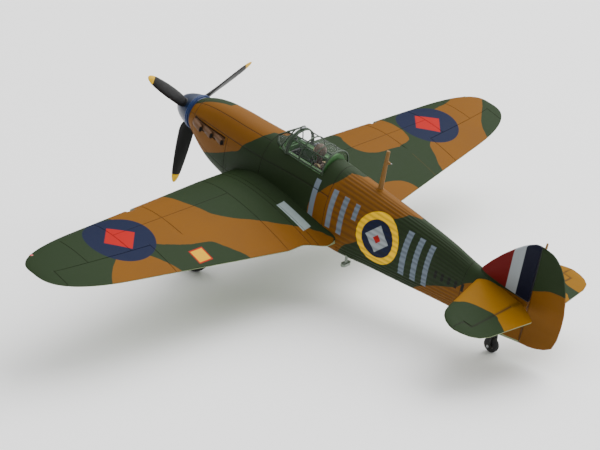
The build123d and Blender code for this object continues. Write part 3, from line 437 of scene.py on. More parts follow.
FINISH = {
    "wing": wing_paint(), "fuselage": fuselage_paint(), "tail": tail_paint(), "blade": blade_paint(),
    "spinner": plain_paint("spinner_blue", colour(20, 36, 62), 0.35, 0.0, 0.35, 1.5),
    "ring": plain_paint("spinner_ring_blue", colour(24, 50, 98), 0.3, 0.0, 0.3, 1.5),
    # Near black: the real colour of the gloves and the propeller hub, and painted shade in the spinner's
    # blade sockets and the belly's holes.
    "black_and_hole_shade": plain_paint("black_and_painted_hole_shade", colour(18, 20, 24), 0.7),
    "rubber": plain_paint("tyre_rubber", colour(26, 26, 26), 0.75, 0.0, 0.5, 1.5, 0.00006),
    "hub": plain_paint("hub_silver", colour(138, 142, 144), 0.4, 0.6, 0.3, 2.0),
    "tail_hub": plain_paint("tail_hub_black", colour(40, 41, 42), 0.3, 0.2, 0.3, 2.0),
    "steel": plain_paint("turned_steel", colour(150, 152, 155), 0.3, 0.9, 0.2, 3.0),
    "brass": plain_paint("turned_brass", colour(176, 142, 74), 0.35, 0.9, 0.2, 3.0),
    "leg": plain_paint("leg_grey_paint", colour(120, 130, 118), 0.5, 0.1, 0.3, 2.0),
    "sky": plain_paint("underside_sky_paint", SKY, 0.62, 0.0, 0.25, 0.6),
    "well": plain_paint("wheel_well_grey_green", colour(112, 124, 98), 0.7, 0.0, 0.4, 1.0),
    "interior": plain_paint("cockpit_grey_green", colour(50, 92, 44), 0.7, 0.0, 0.4, 1.2),
    "frame": plain_paint("canopy_frame_green", colour(34, 52, 32), 0.5, 0.0, 0.35, 2.5),
    "instrument": plain_paint("instrument_black", colour(26, 27, 27), 0.5),
    "dial": plain_paint("dial_glass", colour(70, 74, 78), 0.15),
    "mast": plain_paint("mast_brown_paint", colour(112, 76, 8), 0.6, 0.0, 0.4, 2.0),
    "exhaust": plain_paint("burnt_exhaust", colour(86, 56, 26), 0.7, 0.0, 0.6, 2.0, 0.00006),
    # Painted shade: near black for the insides of the exhaust recess, the exhaust outlets and the gun bores.
    "opening_shade": plain_paint("painted_opening_shade", colour(16, 13, 11), 0.85),
    "core": plain_paint("radiator_mesh_black", colour(26, 27, 28), 0.7, 0.3, 0.6, 4.0),
    "helmet": plain_paint("helmet_tan", colour(62, 38, 14), 0.7, 0.0, 0.4, 2.0),
    "skin": plain_paint("skin_tone", colour(190, 140, 110), 0.6, 0.0, 0.2, 2.0),
    "jacket": plain_paint("jacket_brown", colour(58, 34, 18), 0.75, 0.0, 0.5, 2.0),
    "harness": plain_paint("harness_webbing", colour(150, 132, 92), 0.8, 0.0, 0.4, 3.0),
    "glass": clear_plastic("canopy_clear", colour(222, 230, 226)),
    "lamp": clear_plastic("lamp_clear", colour(225, 230, 235)),
    "red_lamp": plain_paint("red_lamp", colour(170, 22, 18), 0.12, Coat_Weight=1.0),
    "green_lamp": plain_paint("green_lamp", colour(18, 120, 44), 0.12, Coat_Weight=1.0),
}


# ------------------------------------------------------------------ shapes
def unit(vector):
    vector = np.asarray(vector, float)
    return vector / np.linalg.norm(vector)


class Shape:
    """Closed solids gathered for one piece, in airframe millimetres, each with its finish."""

    def __init__(self):
        self.points, self.faces, self.slots, self.finishes = [], [], [], []
        # Per point: how much painted shade darkens it, and whether it lies on the pale underside.
        self.wash, self.under = [], []
        self.count = 0

    def add(self, points, faces, finish, wash=0.0, under=0.0):
        """Add one solid. Points that meet are welded, so poles and seams close."""
        points = np.asarray(points, float).reshape(-1, 3)
        _, first, where = np.unique(np.round(points, 3), axis=0, return_index=True, return_inverse=True)
        where = where.ravel() + self.count
        if finish not in self.finishes:
            self.finishes.append(finish)
        for face in faces:
            corners = [where[i] for i in face]
            corners = [c for i, c in enumerate(corners) if c != corners[i - 1]]
            if len(set(corners)) > 2 and len(set(corners)) == len(corners):
                self.faces.append(corners)
                self.slots.append(self.finishes.index(finish))
        self.points.append(points[first])
        for store, values in ((self.wash, wash), (self.under, under)):
            store.append((np.ravel(values) * np.ones(len(points)))[first])
        self.count += len(first)

    def tube(self, loops, finish, wash=0.0, under=0.0, ends=True):
        """A solid through closed loops of points, with its two ends filled."""
        loops = np.asarray(loops, float)
        rows, columns = loops.shape[:2]
        start = np.arange(rows - 1)[:, None] * columns
        here, after = start + np.arange(columns), start + (np.arange(columns) + 1) % columns
        faces = np.stack([here, after, after + columns, here + columns], -1).reshape(-1, 4).tolist()
        if ends:
            faces += [list(range(columns)), list(range((rows - 1) * columns, rows * columns))]
        self.add(loops, faces, finish, wash, under)

    def lathe(self, profile, start, axis, finish, steps=32, ring=False):
        """Turn (distance, radius) points about an axis. A ring's profile closes on itself."""
        axis = unit(axis)
        side = unit(np.cross(axis, (0.31, 0.17, 0.93)))
        up = np.cross(axis, side)
        turn = np.linspace(0, 2 * np.pi, steps, endpoint=False)[:, None]
        spokes = np.cos(turn) * side + np.sin(turn) * up
        if ring:
            profile = list(profile) + [profile[0]]
        loops = [np.asarray(start) + axis * d + spokes * r for d, r in profile]
        self.tube(loops, finish, ends=not ring)

    def rod(self, start, end, radius, finish, tip=None, steps=16):
        """Round rod with softened rims."""
        length = np.linalg.norm(np.subtract(end, start))
        tip = radius if tip is None else tip
        soft = min(0.12, radius * 0.4, length * 0.3)
        self.lathe([(0, 0), (0, radius - soft), (soft, radius), (length - soft, tip), (length, tip - soft),
                    (length, 0)], start, np.subtract(end, start), finish, steps)

    def ball(self, centre, radii, finish, steps=24):
        turn = np.linspace(0, np.pi, steps // 2 + 1)[:, None]
        around = np.linspace(0, 2 * np.pi, steps, endpoint=False)[None, :]
        grid = np.stack([np.sin(turn) * np.cos(around), np.sin(turn) * np.sin(around),
                         np.cos(turn) + 0 * around], -1)
        self.tube(np.asarray(centre) + grid * np.asarray(radii), finish)

    def slab(self, outline, low, high, axis, finish, soft=0.12):
        """Flat plate with softened rims: an outline in the two other axes, low to high on axis."""
        outline = np.asarray(outline, float)
        middle, size = outline.mean(0), np.ptp(outline, axis=0).min()
        small = middle + (outline - middle) * (1 - 2 * soft / size)
        loops = []
        for level, ring in ((low, small), (low + soft, outline), (high - soft, outline), (high, small)):
            loops.append(np.insert(ring, "xyz".index(axis), level, axis=1))
        self.tube(loops, finish)

    def box(self, low, high, finish, soft=0.1):
        (x0, y0, z0), (x1, y1, z1) = low, high
        self.slab([(x0, y0), (x1, y0), (x1, y1), (x0, y1)], z0, z1, "z", finish, soft)

    def strip(self, path, outward, wide, high, finish, sunk=0.06):
        """Flat moulding along a path, its back sunk a little below the path."""
        path, outward = np.asarray(path, float), np.asarray(outward, float)
        along_path = np.gradient(path, axis=0)
        side = np.cross(along_path, outward)
        side /= np.linalg.norm(side, axis=1, keepdims=True)
        outward = outward / np.linalg.norm(outward, axis=1, keepdims=True)
        corners = ((-0.5, -sunk), (-0.5, 0.6 * high), (-0.36, high),
                   (0.36, high), (0.5, 0.6 * high), (0.5, -sunk))
        loops = np.stack([path + side * wide * a + outward * b for a, b in corners], 1)
        self.tube(loops, finish)

    def sheet(self, grid, inward, finish, thick=0.2):
        """Thin wall: a grid of points and the same grid moved inward."""
        grid = np.asarray(grid, float)
        inner = grid + np.asarray(inward) * thick
        self.tube(np.concatenate([grid, inner[:, ::-1]], 1), finish)


def shifted(shape, dy):
    """The same shape moved aft by dy."""
    for solid in shape.points:
        solid[:, 1] += dy
    return shape


def build(name, shape):
    """Make the Blender object of a shape, set on the table."""
    mesh = bpy.data.meshes.new(name)
    mesh.from_pydata(stand(np.concatenate(shape.points)).tolist(), [], shape.faces)
    for finish in shape.finishes:
        mesh.materials.append(FINISH[finish])
    mesh.polygons.foreach_set("material_index", shape.slots)
    for key, values in (("wash", shape.wash), ("under", shape.under)):
        mesh.attributes.new(key, "FLOAT", "POINT").data.foreach_set("value", np.concatenate(values))
    work = bmesh.new()
    work.from_mesh(mesh)
    bmesh.ops.recalc_face_normals(work, faces=work.faces)
    work.to_mesh(mesh)
    work.free()
    made = bpy.data.objects.new(name, mesh)
    bpy.context.scene.collection.objects.link(made)
    return made


def settle(made):
    """Turn a piece's modifiers into its mesh and drop them."""
    graph = bpy.context.evaluated_depsgraph_get()
    mesh = bpy.data.meshes.new_from_object(made.evaluated_get(graph))
    made.modifiers.clear()
    made.data = mesh


def carve(made, *cutters):
    """Cut shapes out of a piece; the new faces take the cutter's finish."""
    for shape in cutters:
        tool = build("cutter", shape)
        cut = made.modifiers.new("cut", "BOOLEAN")
        cut.operation, cut.solver, cut.object = "DIFFERENCE", "EXACT", tool
        cut.material_mode = "TRANSFER"
        settle(made)
        bpy.data.objects.remove(tool)


def place(made, body="airframe", stands_for=(), crease=32):
    """Smooth a finished piece, attach it to its body and say what it stands for."""
    made.data.shade_smooth()
    made.data.set_sharp_from_angle(angle=math.radians(crease))
    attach(made, body)
    if stands_for:
        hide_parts(*stands_for)
    return made


def ticks(low, high, step, lines=(), wide=0.12):
    """Even positions from low to high, with a tight group of them on each engraved line."""
    values = [v for v in np.linspace(low, high, int(round((high - low) / step)) + 1)
              if all(abs(v - line) > 1.6 * wide for line in lines)]
    for line in lines:
        values += [line - wide, line - 0.4 * wide, line + 0.4 * wide, line + wide]
    return np.array(sorted(v for v in values if low <= v <= high))


def groove(distance, wide=0.12):
    """1 in the floor of an engraved line, 0 outside it."""
    return np.clip((wide - np.abs(distance)) / (0.6 * wide), 0, 1)


def ease(value, low, high):
    """0 below low, 1 above high, smooth between."""
    t = np.clip((value - low) / (high - low), 0, 1)
    return t * t * (3 - 2 * t)


# ------------------------------------------------------------------ fuselage
def body_numbers(y):
    """The section's numbers at station y, read smoothly between the stations."""
    at, rows = STATIONS[:, 0], STATIONS[:, 1:]
    slopes = np.gradient(rows, at, axis=0)
    y = np.atleast_1d(np.asarray(y, float))
    i = np.clip(np.searchsorted(at, y) - 1, 0, len(at) - 2)
    step = (at[i + 1] - at[i])[:, None]
    t = np.clip((y - at[i])[:, None] / step, 0, 1)
    return ((2 * t ** 3 - 3 * t ** 2 + 1) * rows[i] + (t ** 3 - 2 * t ** 2 + t) * step * slopes[i]
            + (3 * t ** 2 - 2 * t ** 3) * rows[i + 1] + (t ** 3 - t ** 2) * step * slopes[i + 1])


def body_skin(y, turn):
    """Port-side points of the fuselage and their outward directions; turn is 0 at the crown."""
    y, turn = np.broadcast_arrays(np.asarray(y, float), np.asarray(turn, float))
    top, bottom, half, waist, above, below = body_numbers(y.ravel()).T.reshape(6, *y.shape)
    over = np.cos(turn) >= 0
    power = 2 / np.where(over, above, below)
    reach = np.where(over, top - waist, waist - bottom)
    x = half * np.abs(np.sin(turn)) ** power
    z = waist + reach * np.sign(np.cos(turn)) * np.abs(np.cos(turn)) ** power
    out = np.stack([np.sin(turn) / half, 0 * y, np.cos(turn) / reach], -1)
    return np.stack([x, y, z], -1), out / np.linalg.norm(out, axis=-1, keepdims=True)


RINGS = (11.0, 25.3, 38.3, 61.9, 105.2, 118.0)         # panel lines round the fuselage
SEAMS = tuple(math.radians(a) for a in (30.0, 66.0, 112.0))   # panel lines along the cowling
STRINGER_PITCH = math.radians(8.0)


def half_fuselage(side):
    """One fuselage half with its panel lines and fabric-covered stringers."""
    rows = ticks(NOSE_RING, HINGE_Y, 0.55, RINGS, 0.13)
    seam_wide = math.radians(1.1)
    columns = ticks(0, math.pi, math.radians(1.6), SEAMS, seam_wide)
    y, turn = rows[:, None], columns[None, :]
    points, out = body_skin(y, turn)
    cut = np.zeros(points.shape[:2])
    for at in RINGS:
        reach = 1.0
        if at == 25.3:
            reach = ease(turn, math.radians(64), math.radians(67))
        cut = np.maximum(cut, groove(y - at, 0.13) * reach * (turn >= 0))
    for at in SEAMS:
        last = 61.9 if at == SEAMS[1] else 38.3
        cut = np.maximum(cut, groove(turn - at, seam_wide) * (1 - ease(y, last, last + 0.4)))
    fade = ease(y, 62.3, 65.0) * (1 - ease(y, 103.0, 107.0))
    fade = fade * ease(turn, 0.08, 0.2) * (1 - ease(turn, 2.4, 2.6))
    wave = np.abs(np.sin(math.pi * (turn / STRINGER_PITCH + 0.5)))
    sink = 0.075 * cut + 0.16 * fade * wave ** 0.8
    points = points - out * sink[..., None]
    points[:, 0, 0] = points[:, -1, 0] = 0
    points[..., 0] *= side
    # Painted shade: darkening in the engraved lines and in the fabric sunk between the stringers.
    wash = np.maximum(0.9 * cut, 0.5 * fade * wave ** 3)
    shape = Shape()
    shape.tube(points, "fuselage", wash=wash)
    return shape


def fin_front(z):
    """Station of the fin's leading edge at height z."""
    return np.interp(z, (2.6, 3.6, 6.1, 8.8, 12.0, 15.4, 17.4, 19.1, 19.5),
                     (106.0, 106.6, 108.0, 109.9, 112.5, 115.7, 117.9, 120.6, 122.0))


def blade_edge(u, soft=0.18):
    """Rounded front edge of a thin flat surface: 0 at the edge, 1 behind it."""
    return np.sqrt(np.clip(1 - (1 - np.clip(u / soft, 0, 1)) ** 2, 0, 1))


def half_fin(side):
    """Fin half that belongs to one fuselage half."""
    heights = ticks(2.4, 19.5, 0.4)
    share = np.concatenate([np.linspace(0, 0.2, 9)[:-1], np.linspace(0.2, 1, 22)])
    z, u = heights[:, None], share[None, :]
    front = fin_front(z)
    y = front + (HINGE_Y - front) * u
    half = FIN_HALF * blade_edge(u) * np.sqrt(np.clip((19.55 - z) / 1.2, 0, 1)) * (1 - 0.12 * u)
    outer = np.stack([side * half, y, z + 0 * u], -1)
    inner = np.stack([0 * y, y, z + 0 * u], -1)
    shape = Shape()
    shape.tube(np.concatenate([outer, inner[:, ::-1]], 1), "fuselage")
    return shape


def block(low, high, finish):
    """Sharp box for cutting."""
    shape = Shape()
    (x0, y0, z0), (x1, y1, z1) = low, high
    ring = np.array([(x0, y0), (x1, y0), (x1, y1), (x0, y1)], float)
    shape.tube([np.insert(ring, 2, level, axis=1) for level in (z0, z1)], finish)
    return shape


def well_cutter(side):
    """Wheel well and leg bay, open downwards."""
    turn = np.radians(np.linspace(-12.5, 319.5, 49))
    ring = [(WELL_X + WELL_RADIUS * math.cos(a), WELL_Y + WELL_RADIUS * math.sin(a)) for a in turn]
    ring += [(17.3, 31.1), (17.3, 33.7)]
    ring = np.array(ring) * (side, 1)
    shape = Shape()
    shape.tube([np.insert(ring, 2, level, axis=1) for level in (-25.0, WELL_CEILING)], "well")
    return shape


def post_cutter(y, radius, high):
    """Round hole up into the belly on the centre line."""
    low = -20
    shape = Shape()
    # The hole's walls come out near black: painted shade inside the hole.
    shape.lathe([(0, 0), (0, radius), (high - low, radius), (high - low, 0)], (0, y, low), (0, 0, 1), "black_and_hole_shade")
    return shape


for side, word in SIDES:
    half = build(f"fuselage_{word}", half_fuselage(side))
    carve(half, block((-9, COCKPIT_NOSE, SILL), (9, COCKPIT_TAIL, 20), "interior"),
          block((-3.05, 41.8, -2.2), (3.05, 57.6, 9), "interior"),
          block((-9, BELLY_NOSE - 0.05, -30), (9, BELLY_TAIL + 0.05, BELLY_TOP + 0.05), "sky"),
          # The exhaust recess's walls come out near black: painted shade inside the recess.
          block((side * 5.0, 11.5, -0.3), (side * 9, 24.5, 2.1), "opening_shade"))
    fin = build(f"fin_{word}", half_fin(side))
    place(half, stands_for=(f"fuselage_{word}_half",), crease=40)
    place(fin, stands_for=(f"fuselage_{word}_half",))


# ------------------------------------------------------------------ wing
RIB_LINES = (10.4, 12.0, 19.0, 42.0, 52.4, 58.2, 71.0, 80.3)
RIB_REACH = {42.0: (0.05, 0.6), 52.4: (0.61, 1), 58.2: (0.0, 0.617), 71.0: (0.1, 0.617), 80.3: (0.61, 1)}
CHORD_LINES = (0.33, 0.615, 0.80)
CHORD_REACH = {0.33: (19.0, 58.2), 0.615: (52.4, 80.3), 0.80: (12.0, 52.4)}
RIB_WIDE, CHORD_WIDE = 0.12, 0.0042
TIP_END = 0.998 * (HALF_SPAN - TIP_START) + TIP_START


def wing_numbers(x):
    """Nose station, chord, thickness and height of the wing section at span x."""
    x = np.abs(x)
    out = np.maximum(0, x - CENTRE_SECTION)
    shrink = np.clip(1 - np.maximum(0, (x - TIP_START) / (HALF_SPAN - TIP_START)) ** 3, 0, 1) ** (1 / 3)
    nose, tail = WING_NOSE + out * SWEEP_NOSE, WING_TAIL - out * SWEEP_TAIL
    tail = tail + 3.7 * (1 - ease(x, 7.5, 14.5))
    spread = np.clip(out / (TIP_START - CENTRE_SECTION), 0, 1)
    ratio = (ROOT_THICKNESS + (TIP_THICKNESS - ROOT_THICKNESS) * spread) * shrink
    return TIP_Y - (TIP_Y - nose) * shrink, (tail - nose) * shrink, ratio, WING_Z + out * DIHEDRAL, shrink


def wing_skin(x, s, top):
    """Points of the upper (top=1) or lower (top=-1) surface at span x and chord share s."""
    x, s = np.broadcast_arrays(np.asarray(x, float), np.asarray(s, float))
    nose, chord, ratio, base, shrink = wing_numbers(x)
    half = 5 * ratio * np.minimum(chord, 35) * (0.2969 * np.sqrt(s) - 0.1260 * s - 0.3516 * s ** 2
                                                + 0.2843 * s ** 3 - 0.1015 * s ** 4) + 0.12 * shrink * (s > 0)
    middle = base + (0.3 - s) * chord * INCIDENCE + 4 * CAMBER * chord * s * (1 - s) * shrink
    root = np.clip((9.2 - np.abs(x)) / 3.0, 0, 1) ** 2 * 2.0 * ease(s, 0.02, 0.3)
    return np.stack([x, nose + s * chord, middle + top * half + (top > 0) * root], -1)


def wing_shape():
    """The whole wing skin, port tip to starboard tip, with its panel lines."""
    inner = ticks(0, TIP_START, 0.8, RIB_LINES[:-2], RIB_WIDE)
    outer = ticks(TIP_START, 82.0, 0.6, RIB_LINES[-2:], RIB_WIDE)[1:]
    tip = 82.0 + (TIP_END - 82.0) * np.sin(np.linspace(0, math.pi / 2, 14))[1:]
    port = np.concatenate([inner, outer, tip])
    spans = np.concatenate([-port[:0:-1], port])
    shares = np.concatenate([np.array([0, 0.0015, 0.005, 0.011, 0.02, 0.032, 0.047, 0.065, 0.086, 0.11]),
                             ticks(0.13, 1.0, 0.022, CHORD_LINES, CHORD_WIDE)])
    x, s = spans[:, None], shares[None, :]
    span = np.abs(x)
    cuts = {}
    for top in (1, -1):
        cut = np.zeros(np.broadcast(x, s).shape)
        for at in RIB_LINES:
            low, high = RIB_REACH.get(at, (0, 1))
            cut = np.maximum(cut, groove(span - at, RIB_WIDE) * (s >= low) * (s <= high))
        for at in CHORD_LINES:
            if at == 0.80 and top > 0:
                continue
            low, high = CHORD_REACH[at]
            deep = 1.6 if at == 0.615 else 1.0
            cut = np.maximum(cut, deep * groove(s - at, CHORD_WIDE) * (span >= low) * (span <= high))
        cuts[top] = cut
    upper = wing_skin(x, s, 1) - np.array([0, 0, 0.08]) * cuts[1][..., None]
    lower = wing_skin(x, s[:, 1:], -1) + np.array([0, 0, 0.08]) * cuts[-1][:, 1:, None]
    below = np.broadcast_to(s[:, 1:] > 0.004, lower.shape[:2])
    shape = Shape()
    # The engraved lines are darkened with painted shade.
    shape.tube(np.concatenate([upper[:, ::-1], lower], 1), "wing",
               wash=np.concatenate([np.minimum(cuts[1], 1)[:, ::-1], np.minimum(cuts[-1], 1)[:, 1:]], 1),
               under=np.concatenate([np.zeros(upper.shape[:2]), below], 1))
    return shape


def belly_shape():
    """The casting between the wheel wells that closes the fuselage from below."""
    y = ticks(BELLY_NOSE, BELLY_TAIL, 0.8, (47.0,), 0.13)[:, None]
    full = np.linspace(0.5 * math.pi, math.pi, 241)
    loops = []
    for at in y[:, 0]:
        line, _ = body_skin(at, full)
        keep = line[line[:, 2] < BELLY_TOP]
        step = np.linspace(0, len(keep) - 1, 40)
        half = np.stack([np.interp(step, np.arange(len(keep)), keep[:, k]) for k in range(3)], -1)
        half[0, 2] = BELLY_TOP
        loops.append(np.concatenate([half, (half * (-1, 1, 1))[::-1][1:]]))
    shape = Shape()
    shape.tube(loops, "fuselage")
    return shape


wing = build("wing_skin", wing_shape())
belly = build("wing_belly", belly_shape())
light_bays = [block((side * LIGHT_X - 1.3, 20, -14), (side * LIGHT_X + 1.3, 32.6, 2), "well")
              for side in (1, -1)]
wells = [well_cutter(1), well_cutter(-1)]
carve(wing, *wells, *light_bays)
carve(belly, *wells, post_cutter(SOCKET_Y, SOCKET_RADIUS, SOCKET_TOP),
      *(post_cutter(y, SCREW_RADIUS, SCREW_SEAT) for y in SCREW_STATIONS))
place(wing, stands_for=("wing",), crease=40)
place(belly, stands_for=("wing",), crease=40)


# ------------------------------------------------------------------ tail surfaces
def tailplane(side):
    """One tailplane with its elevator joint, swollen near the root."""
    spans = ticks(0.9, 19.0, 0.4, (19.0, 10.0), 0.1)
    spans = np.concatenate([spans[spans < 19.2], 19.2 + 4.1 * np.sin(np.linspace(0, math.pi / 2, 14))[1:]])
    x = spans[:, None]
    front = np.interp(spans, (0.9, 14.5, 17.0, 19.0, 20.6, 22.0, 22.9, 23.3),
                      (107.8, 111.3, 111.9, 112.7, 113.8, 115.4, 117.2, 119.0))
    back = np.interp(spans, (0.9, 4.6, 15.5, 18.0, 20.6, 22.2, 23.0, 23.3),
                     (121.6, 127.6, 126.2, 125.9, 124.9, 123.0, 121.0, 119.0))
    hinge = np.interp(spans, (0.9, 18.99, 19.01, 23.3), (121.0, 121.0, 118.5, 118.5))
    share = np.concatenate([[0, 0.01, 0.03, 0.06, 0.1, 0.15], np.linspace(0.2, 1, 26)])
    y = front[:, None] + (back - front)[:, None] * share
    hinge = np.clip(hinge, front + 0.3, np.maximum(back - 0.3, front + 0.3))[:, None]
    nearest = np.argmin(np.abs(y - hinge), axis=1)
    rows = np.arange(len(spans))
    y[rows, nearest] = hinge[:, 0]
    cut = np.zeros(y.shape)
    cut[rows, nearest] = (spans > 1.2) * (spans < 22.9)
    cut = np.maximum(cut, groove(x - 19.0, 0.1) * ((y > 118.4) & (y < 121.1)))
    tip = np.sqrt(np.clip((23.35 - x) / 2.2, 0, 1))
    full = np.interp(x, (0.9, 3.0, 8.0, 16.0, 23.3), (1.35, 1.2, 0.85, 0.6, 0.45))
    half = (full * blade_edge(share, 0.3)[None, :] * (1 - 0.8 * share ** 2)[None, :] + 0.04) * tip
    half = half - 0.12 * cut * (half > 0.15)
    top = np.stack([side * x + 0 * y, y, TAILPLANE_Z + half], -1)
    low = np.stack([side * x + 0 * y, y, TAILPLANE_Z - half], -1)
    shape = Shape()
    # The elevator joint line is darkened with painted shade.
    shape.tube(np.concatenate([top, low[:, ::-1]], 1), "tail",
               wash=np.concatenate([cut, cut[:, ::-1]], 1),
               under=np.concatenate([0 * cut, 1 + 0 * cut], 1))
    return shape


def rudder_shape():
    """The rudder: rounded rim, thin tail and fabric sinking between its ribs."""
    quarter = np.linspace(0, math.pi / 2, 8)
    heights = np.concatenate([-7.55 + 1.2 * (1 - np.cos(quarter)), np.linspace(-6.1, 18.6, 64),
                              18.7 + 0.88 * np.sin(quarter)])
    back = np.interp(heights,
                     (-7.6, -7.3, -6.7, -5.6, -4.2, -1.5, 2.1, 5.5, 9.0, 12.0, 14.8, 17.0, 18.3, 19.2, 19.6),
                     (122.9, 125.3, 127.4, 129.9, 131.8, 132.6, 132.9, 132.85,
                      132.3, 131.5, 130.4, 128.9, 127.5, 125.9, 122.9))
    share = np.concatenate([[0, 0.02, 0.06, 0.12], np.linspace(0.2, 0.92, 16), [0.95, 0.975, 0.99, 1]])
    front = 122.85
    y = front + (back[:, None] - front) * share
    ribs = 0.07 * np.abs(np.sin(math.pi * (heights + 7.6) / 3.3))[:, None] ** 0.7
    ribs = ribs * np.sin(math.pi * share) ** 0.5
    edge = np.sqrt(np.clip(share / 0.06, 0, 1))
    half = RUDDER_HALF * edge * (1 - 0.75 * share ** 1.5) * np.sqrt(np.clip(
        np.minimum(19.65 - heights, heights + 7.65) / 0.9, 0, 1))[:, None] - ribs
    half = np.maximum(half, 0.03)
    z = heights[:, None] + 0 * y
    shape = Shape()
    port, starboard = np.stack([half, y, z], -1), np.stack([-half, y, z], -1)
    shape.tube(np.concatenate([port, starboard[:, ::-1]], 1), "fuselage")
    return shape


for side, word in SIDES:
    place(build(f"tailplane_skin_{word}", tailplane(side)), stands_for=(f"tailplane_{word}",))
place(build("rudder_skin", rudder_shape()), stands_for=("rudder",))


# ------------------------------------------------------------------ propeller
def blade_shape(turn):
    """One twisted blade: radius, chord, thickness and pitch from the plane of the disc."""
    at = (1.2, 3.4, 4.3, 5.4, 7.0, 10.0, 13.0, 16.0, 19.0, 21.0, 22.2, 22.65, 22.8)
    tip = 21.0 + 1.8 * np.sin(np.linspace(0, math.pi / 2, 10))[1:]
    radius = np.concatenate([np.linspace(1.2, 21.0, 34), tip])
    chord = np.interp(radius, at, (1.8, 1.9, 2.5, 3.7, 4.2, 4.05, 3.8, 3.4, 2.85, 2.2, 1.4, 0.8, 0.3))
    thick = np.interp(radius, at, (1.8, 1.7, 1.5, 1.3, 1.15, 1.0, 0.9, 0.8, 0.65, 0.55, 0.4, 0.25, 0.1))
    pitch = np.radians(np.interp(radius, (4, 7, 10, 13, 16, 19, 22.8), (44, 41, 36, 30, 25.5, 21, 18)))
    around = np.linspace(0, 2 * np.pi, 28, endpoint=False)
    a = chord[:, None] / 2 * np.cos(around)
    b = thick[:, None] / 2 * np.sin(around) * (1 - 0.25 * np.cos(around))
    x = a * np.cos(pitch)[:, None] - b * np.sin(pitch)[:, None]
    y = PROP_Y + a * np.sin(pitch)[:, None] + b * np.cos(pitch)[:, None]
    z = radius[:, None] + 0 * x
    tilt = math.radians(turn)
    across, outward = x * math.cos(tilt) + z * math.sin(tilt), z * math.cos(tilt) - x * math.sin(tilt)
    shape = Shape()
    shape.tube(np.stack([across, y, outward], -1), "blade")
    return shape


for word, turn in BLADE_TURNS.items():
    place(build(f"blade_{word}", blade_shape(turn)), "propeller", (f"propeller_blade_{word}",),
          50)


def spinner_shape():
    """Pointed spinner with a dark collar round each blade, painted shade standing in for the shade in the
    blade cut-outs.
    """
    spinner = Shape()
    nose = [(0, 0), (0.12, 0.55), (0.45, 1.15), (1.2, 2.0), (2.3, 2.95), (3.6, 3.7), (5.2, 4.3),
            (6.6, 4.62), (7.2, 4.7), (SPINNER_END, 4.62), (SPINNER_END, 3.9), (3.6, 2.4), (1.6, 0)]
    spinner.lathe(nose, (0, 0, 0), (0, 1, 0), "spinner", 64)
    for turn in BLADE_TURNS.values():
        tilt = math.radians(turn)
        way = np.array((math.sin(tilt), 0, math.cos(tilt)))
        # Painted shade: a dark solid collar where the blade passes through the spinner.
        spinner.lathe([(0, 0), (0, 1.35), (1.0, 1.3), (1.25, 1.1), (1.25, 0)],
                      way * 3.4 + (0, PROP_Y, 0), way, "black_and_hole_shade", 28)
    return spinner


place(build("spinner_shell", spinner_shape()), "propeller", ("spinner",), 40)


def ring_shape():
    """Back plate of the spinner, with its two raised rings."""
    plate = Shape()
    plate.lathe([(0, 2.3), (0, 4.5), (0.05, 4.9), (0.14, 4.98), (0.34, 4.98), (0.4, 4.9), (0.42, 4.6),
                 (0.58, 4.6), (0.6, 4.9), (0.66, 4.98), (0.82, 4.98), (0.9, 4.9), (0.92, 4.5),
                 (1.08, 4.4), (1.08, 2.3)],
                (0, SPINNER_END, 0), (0, 1, 0), "ring", 64, ring=True)
    return plate


place(build("spinner_rings", ring_shape()), "propeller", ("spinner_backplate",))


# ------------------------------------------------------------------ exhausts
def exhaust_stubs(side):
    """Three flared stubs on a bar along the cowling."""
    stubs = Shape()
    bar = np.array([(4.4, 11.6), (5.3, 11.6), (5.95, 16.0), (6.4, 24.4), (4.4, 24.4)])
    stubs.slab(bar * (side, 1), -0.25, 1.62, "z", "exhaust", 0.1)
    for y in (12.2, 16.3, 20.4):
        path = np.array([(4.6, y, 0.75), (5.5, y + 0.5, 0.75), (6.15, y + 1.6, 0.7), (6.6, y + 2.7, 0.55),
                         (6.85, y + 3.5, 0.45)])
        flow = np.gradient(path, axis=0)
        turn = np.linspace(0, 2 * np.pi, 24, endpoint=False)[:, None]
        loops = []
        for middle, way, deep in zip(path, flow, (1.2, 1.15, 0.95, 0.72, 0.55)):
            across = unit(np.cross(way, (0, 0, 1)))
            oval = np.sign(np.sin(turn)) * np.abs(np.sin(turn)) ** 0.7 * np.array((0, 0, 0.88))
            loops.append(middle + np.cos(turn) * across * deep + oval)
        loops = np.array(loops)
        end = loops[-1].mean(0)
        rim, throat = end + (loops[-1] - end) * 0.78, end + (loops[-1] - end) * 0.7 - flow[-1] * 0.4
        stubs.tube(np.concatenate([loops, rim[None]]) * (side, 1, 1), "exhaust")
        # Painted shade: a near-black plug filling each stub's outlet.
        stubs.tube(np.stack([rim + flow[-1] * 0.03, throat]) * (side, 1, 1), "opening_shade")
    return stubs


for side, word in SIDES:
    place(build(f"exhaust_stubs_{word}", exhaust_stubs(side)), stands_for=(f"exhaust_{word}",),
          crease=40)


# ------------------------------------------------------------------ wheels
def main_tyre(centre):
    """Ribbed main tyre."""
    tyre = Shape()
    rim = [(-1.38, 3.12), (-1.4, 3.5), (-1.4, 4.4), (-1.15, 5.1), (-0.75, 5.4), (-0.62, 5.46), (-0.56, 5.34),
           (-0.44, 5.34), (-0.38, 5.5), (-0.06, 5.5), (0, 5.38), (0.06, 5.5), (0.38, 5.5), (0.44, 5.34),
           (0.56, 5.34), (0.62, 5.46), (0.75, 5.4), (1.15, 5.1), (1.4, 4.4), (1.4, 3.5), (1.38, 3.12)]
    tyre.lathe(rim, centre, (1, 0, 0), "rubber", 72, ring=True)
    return tyre


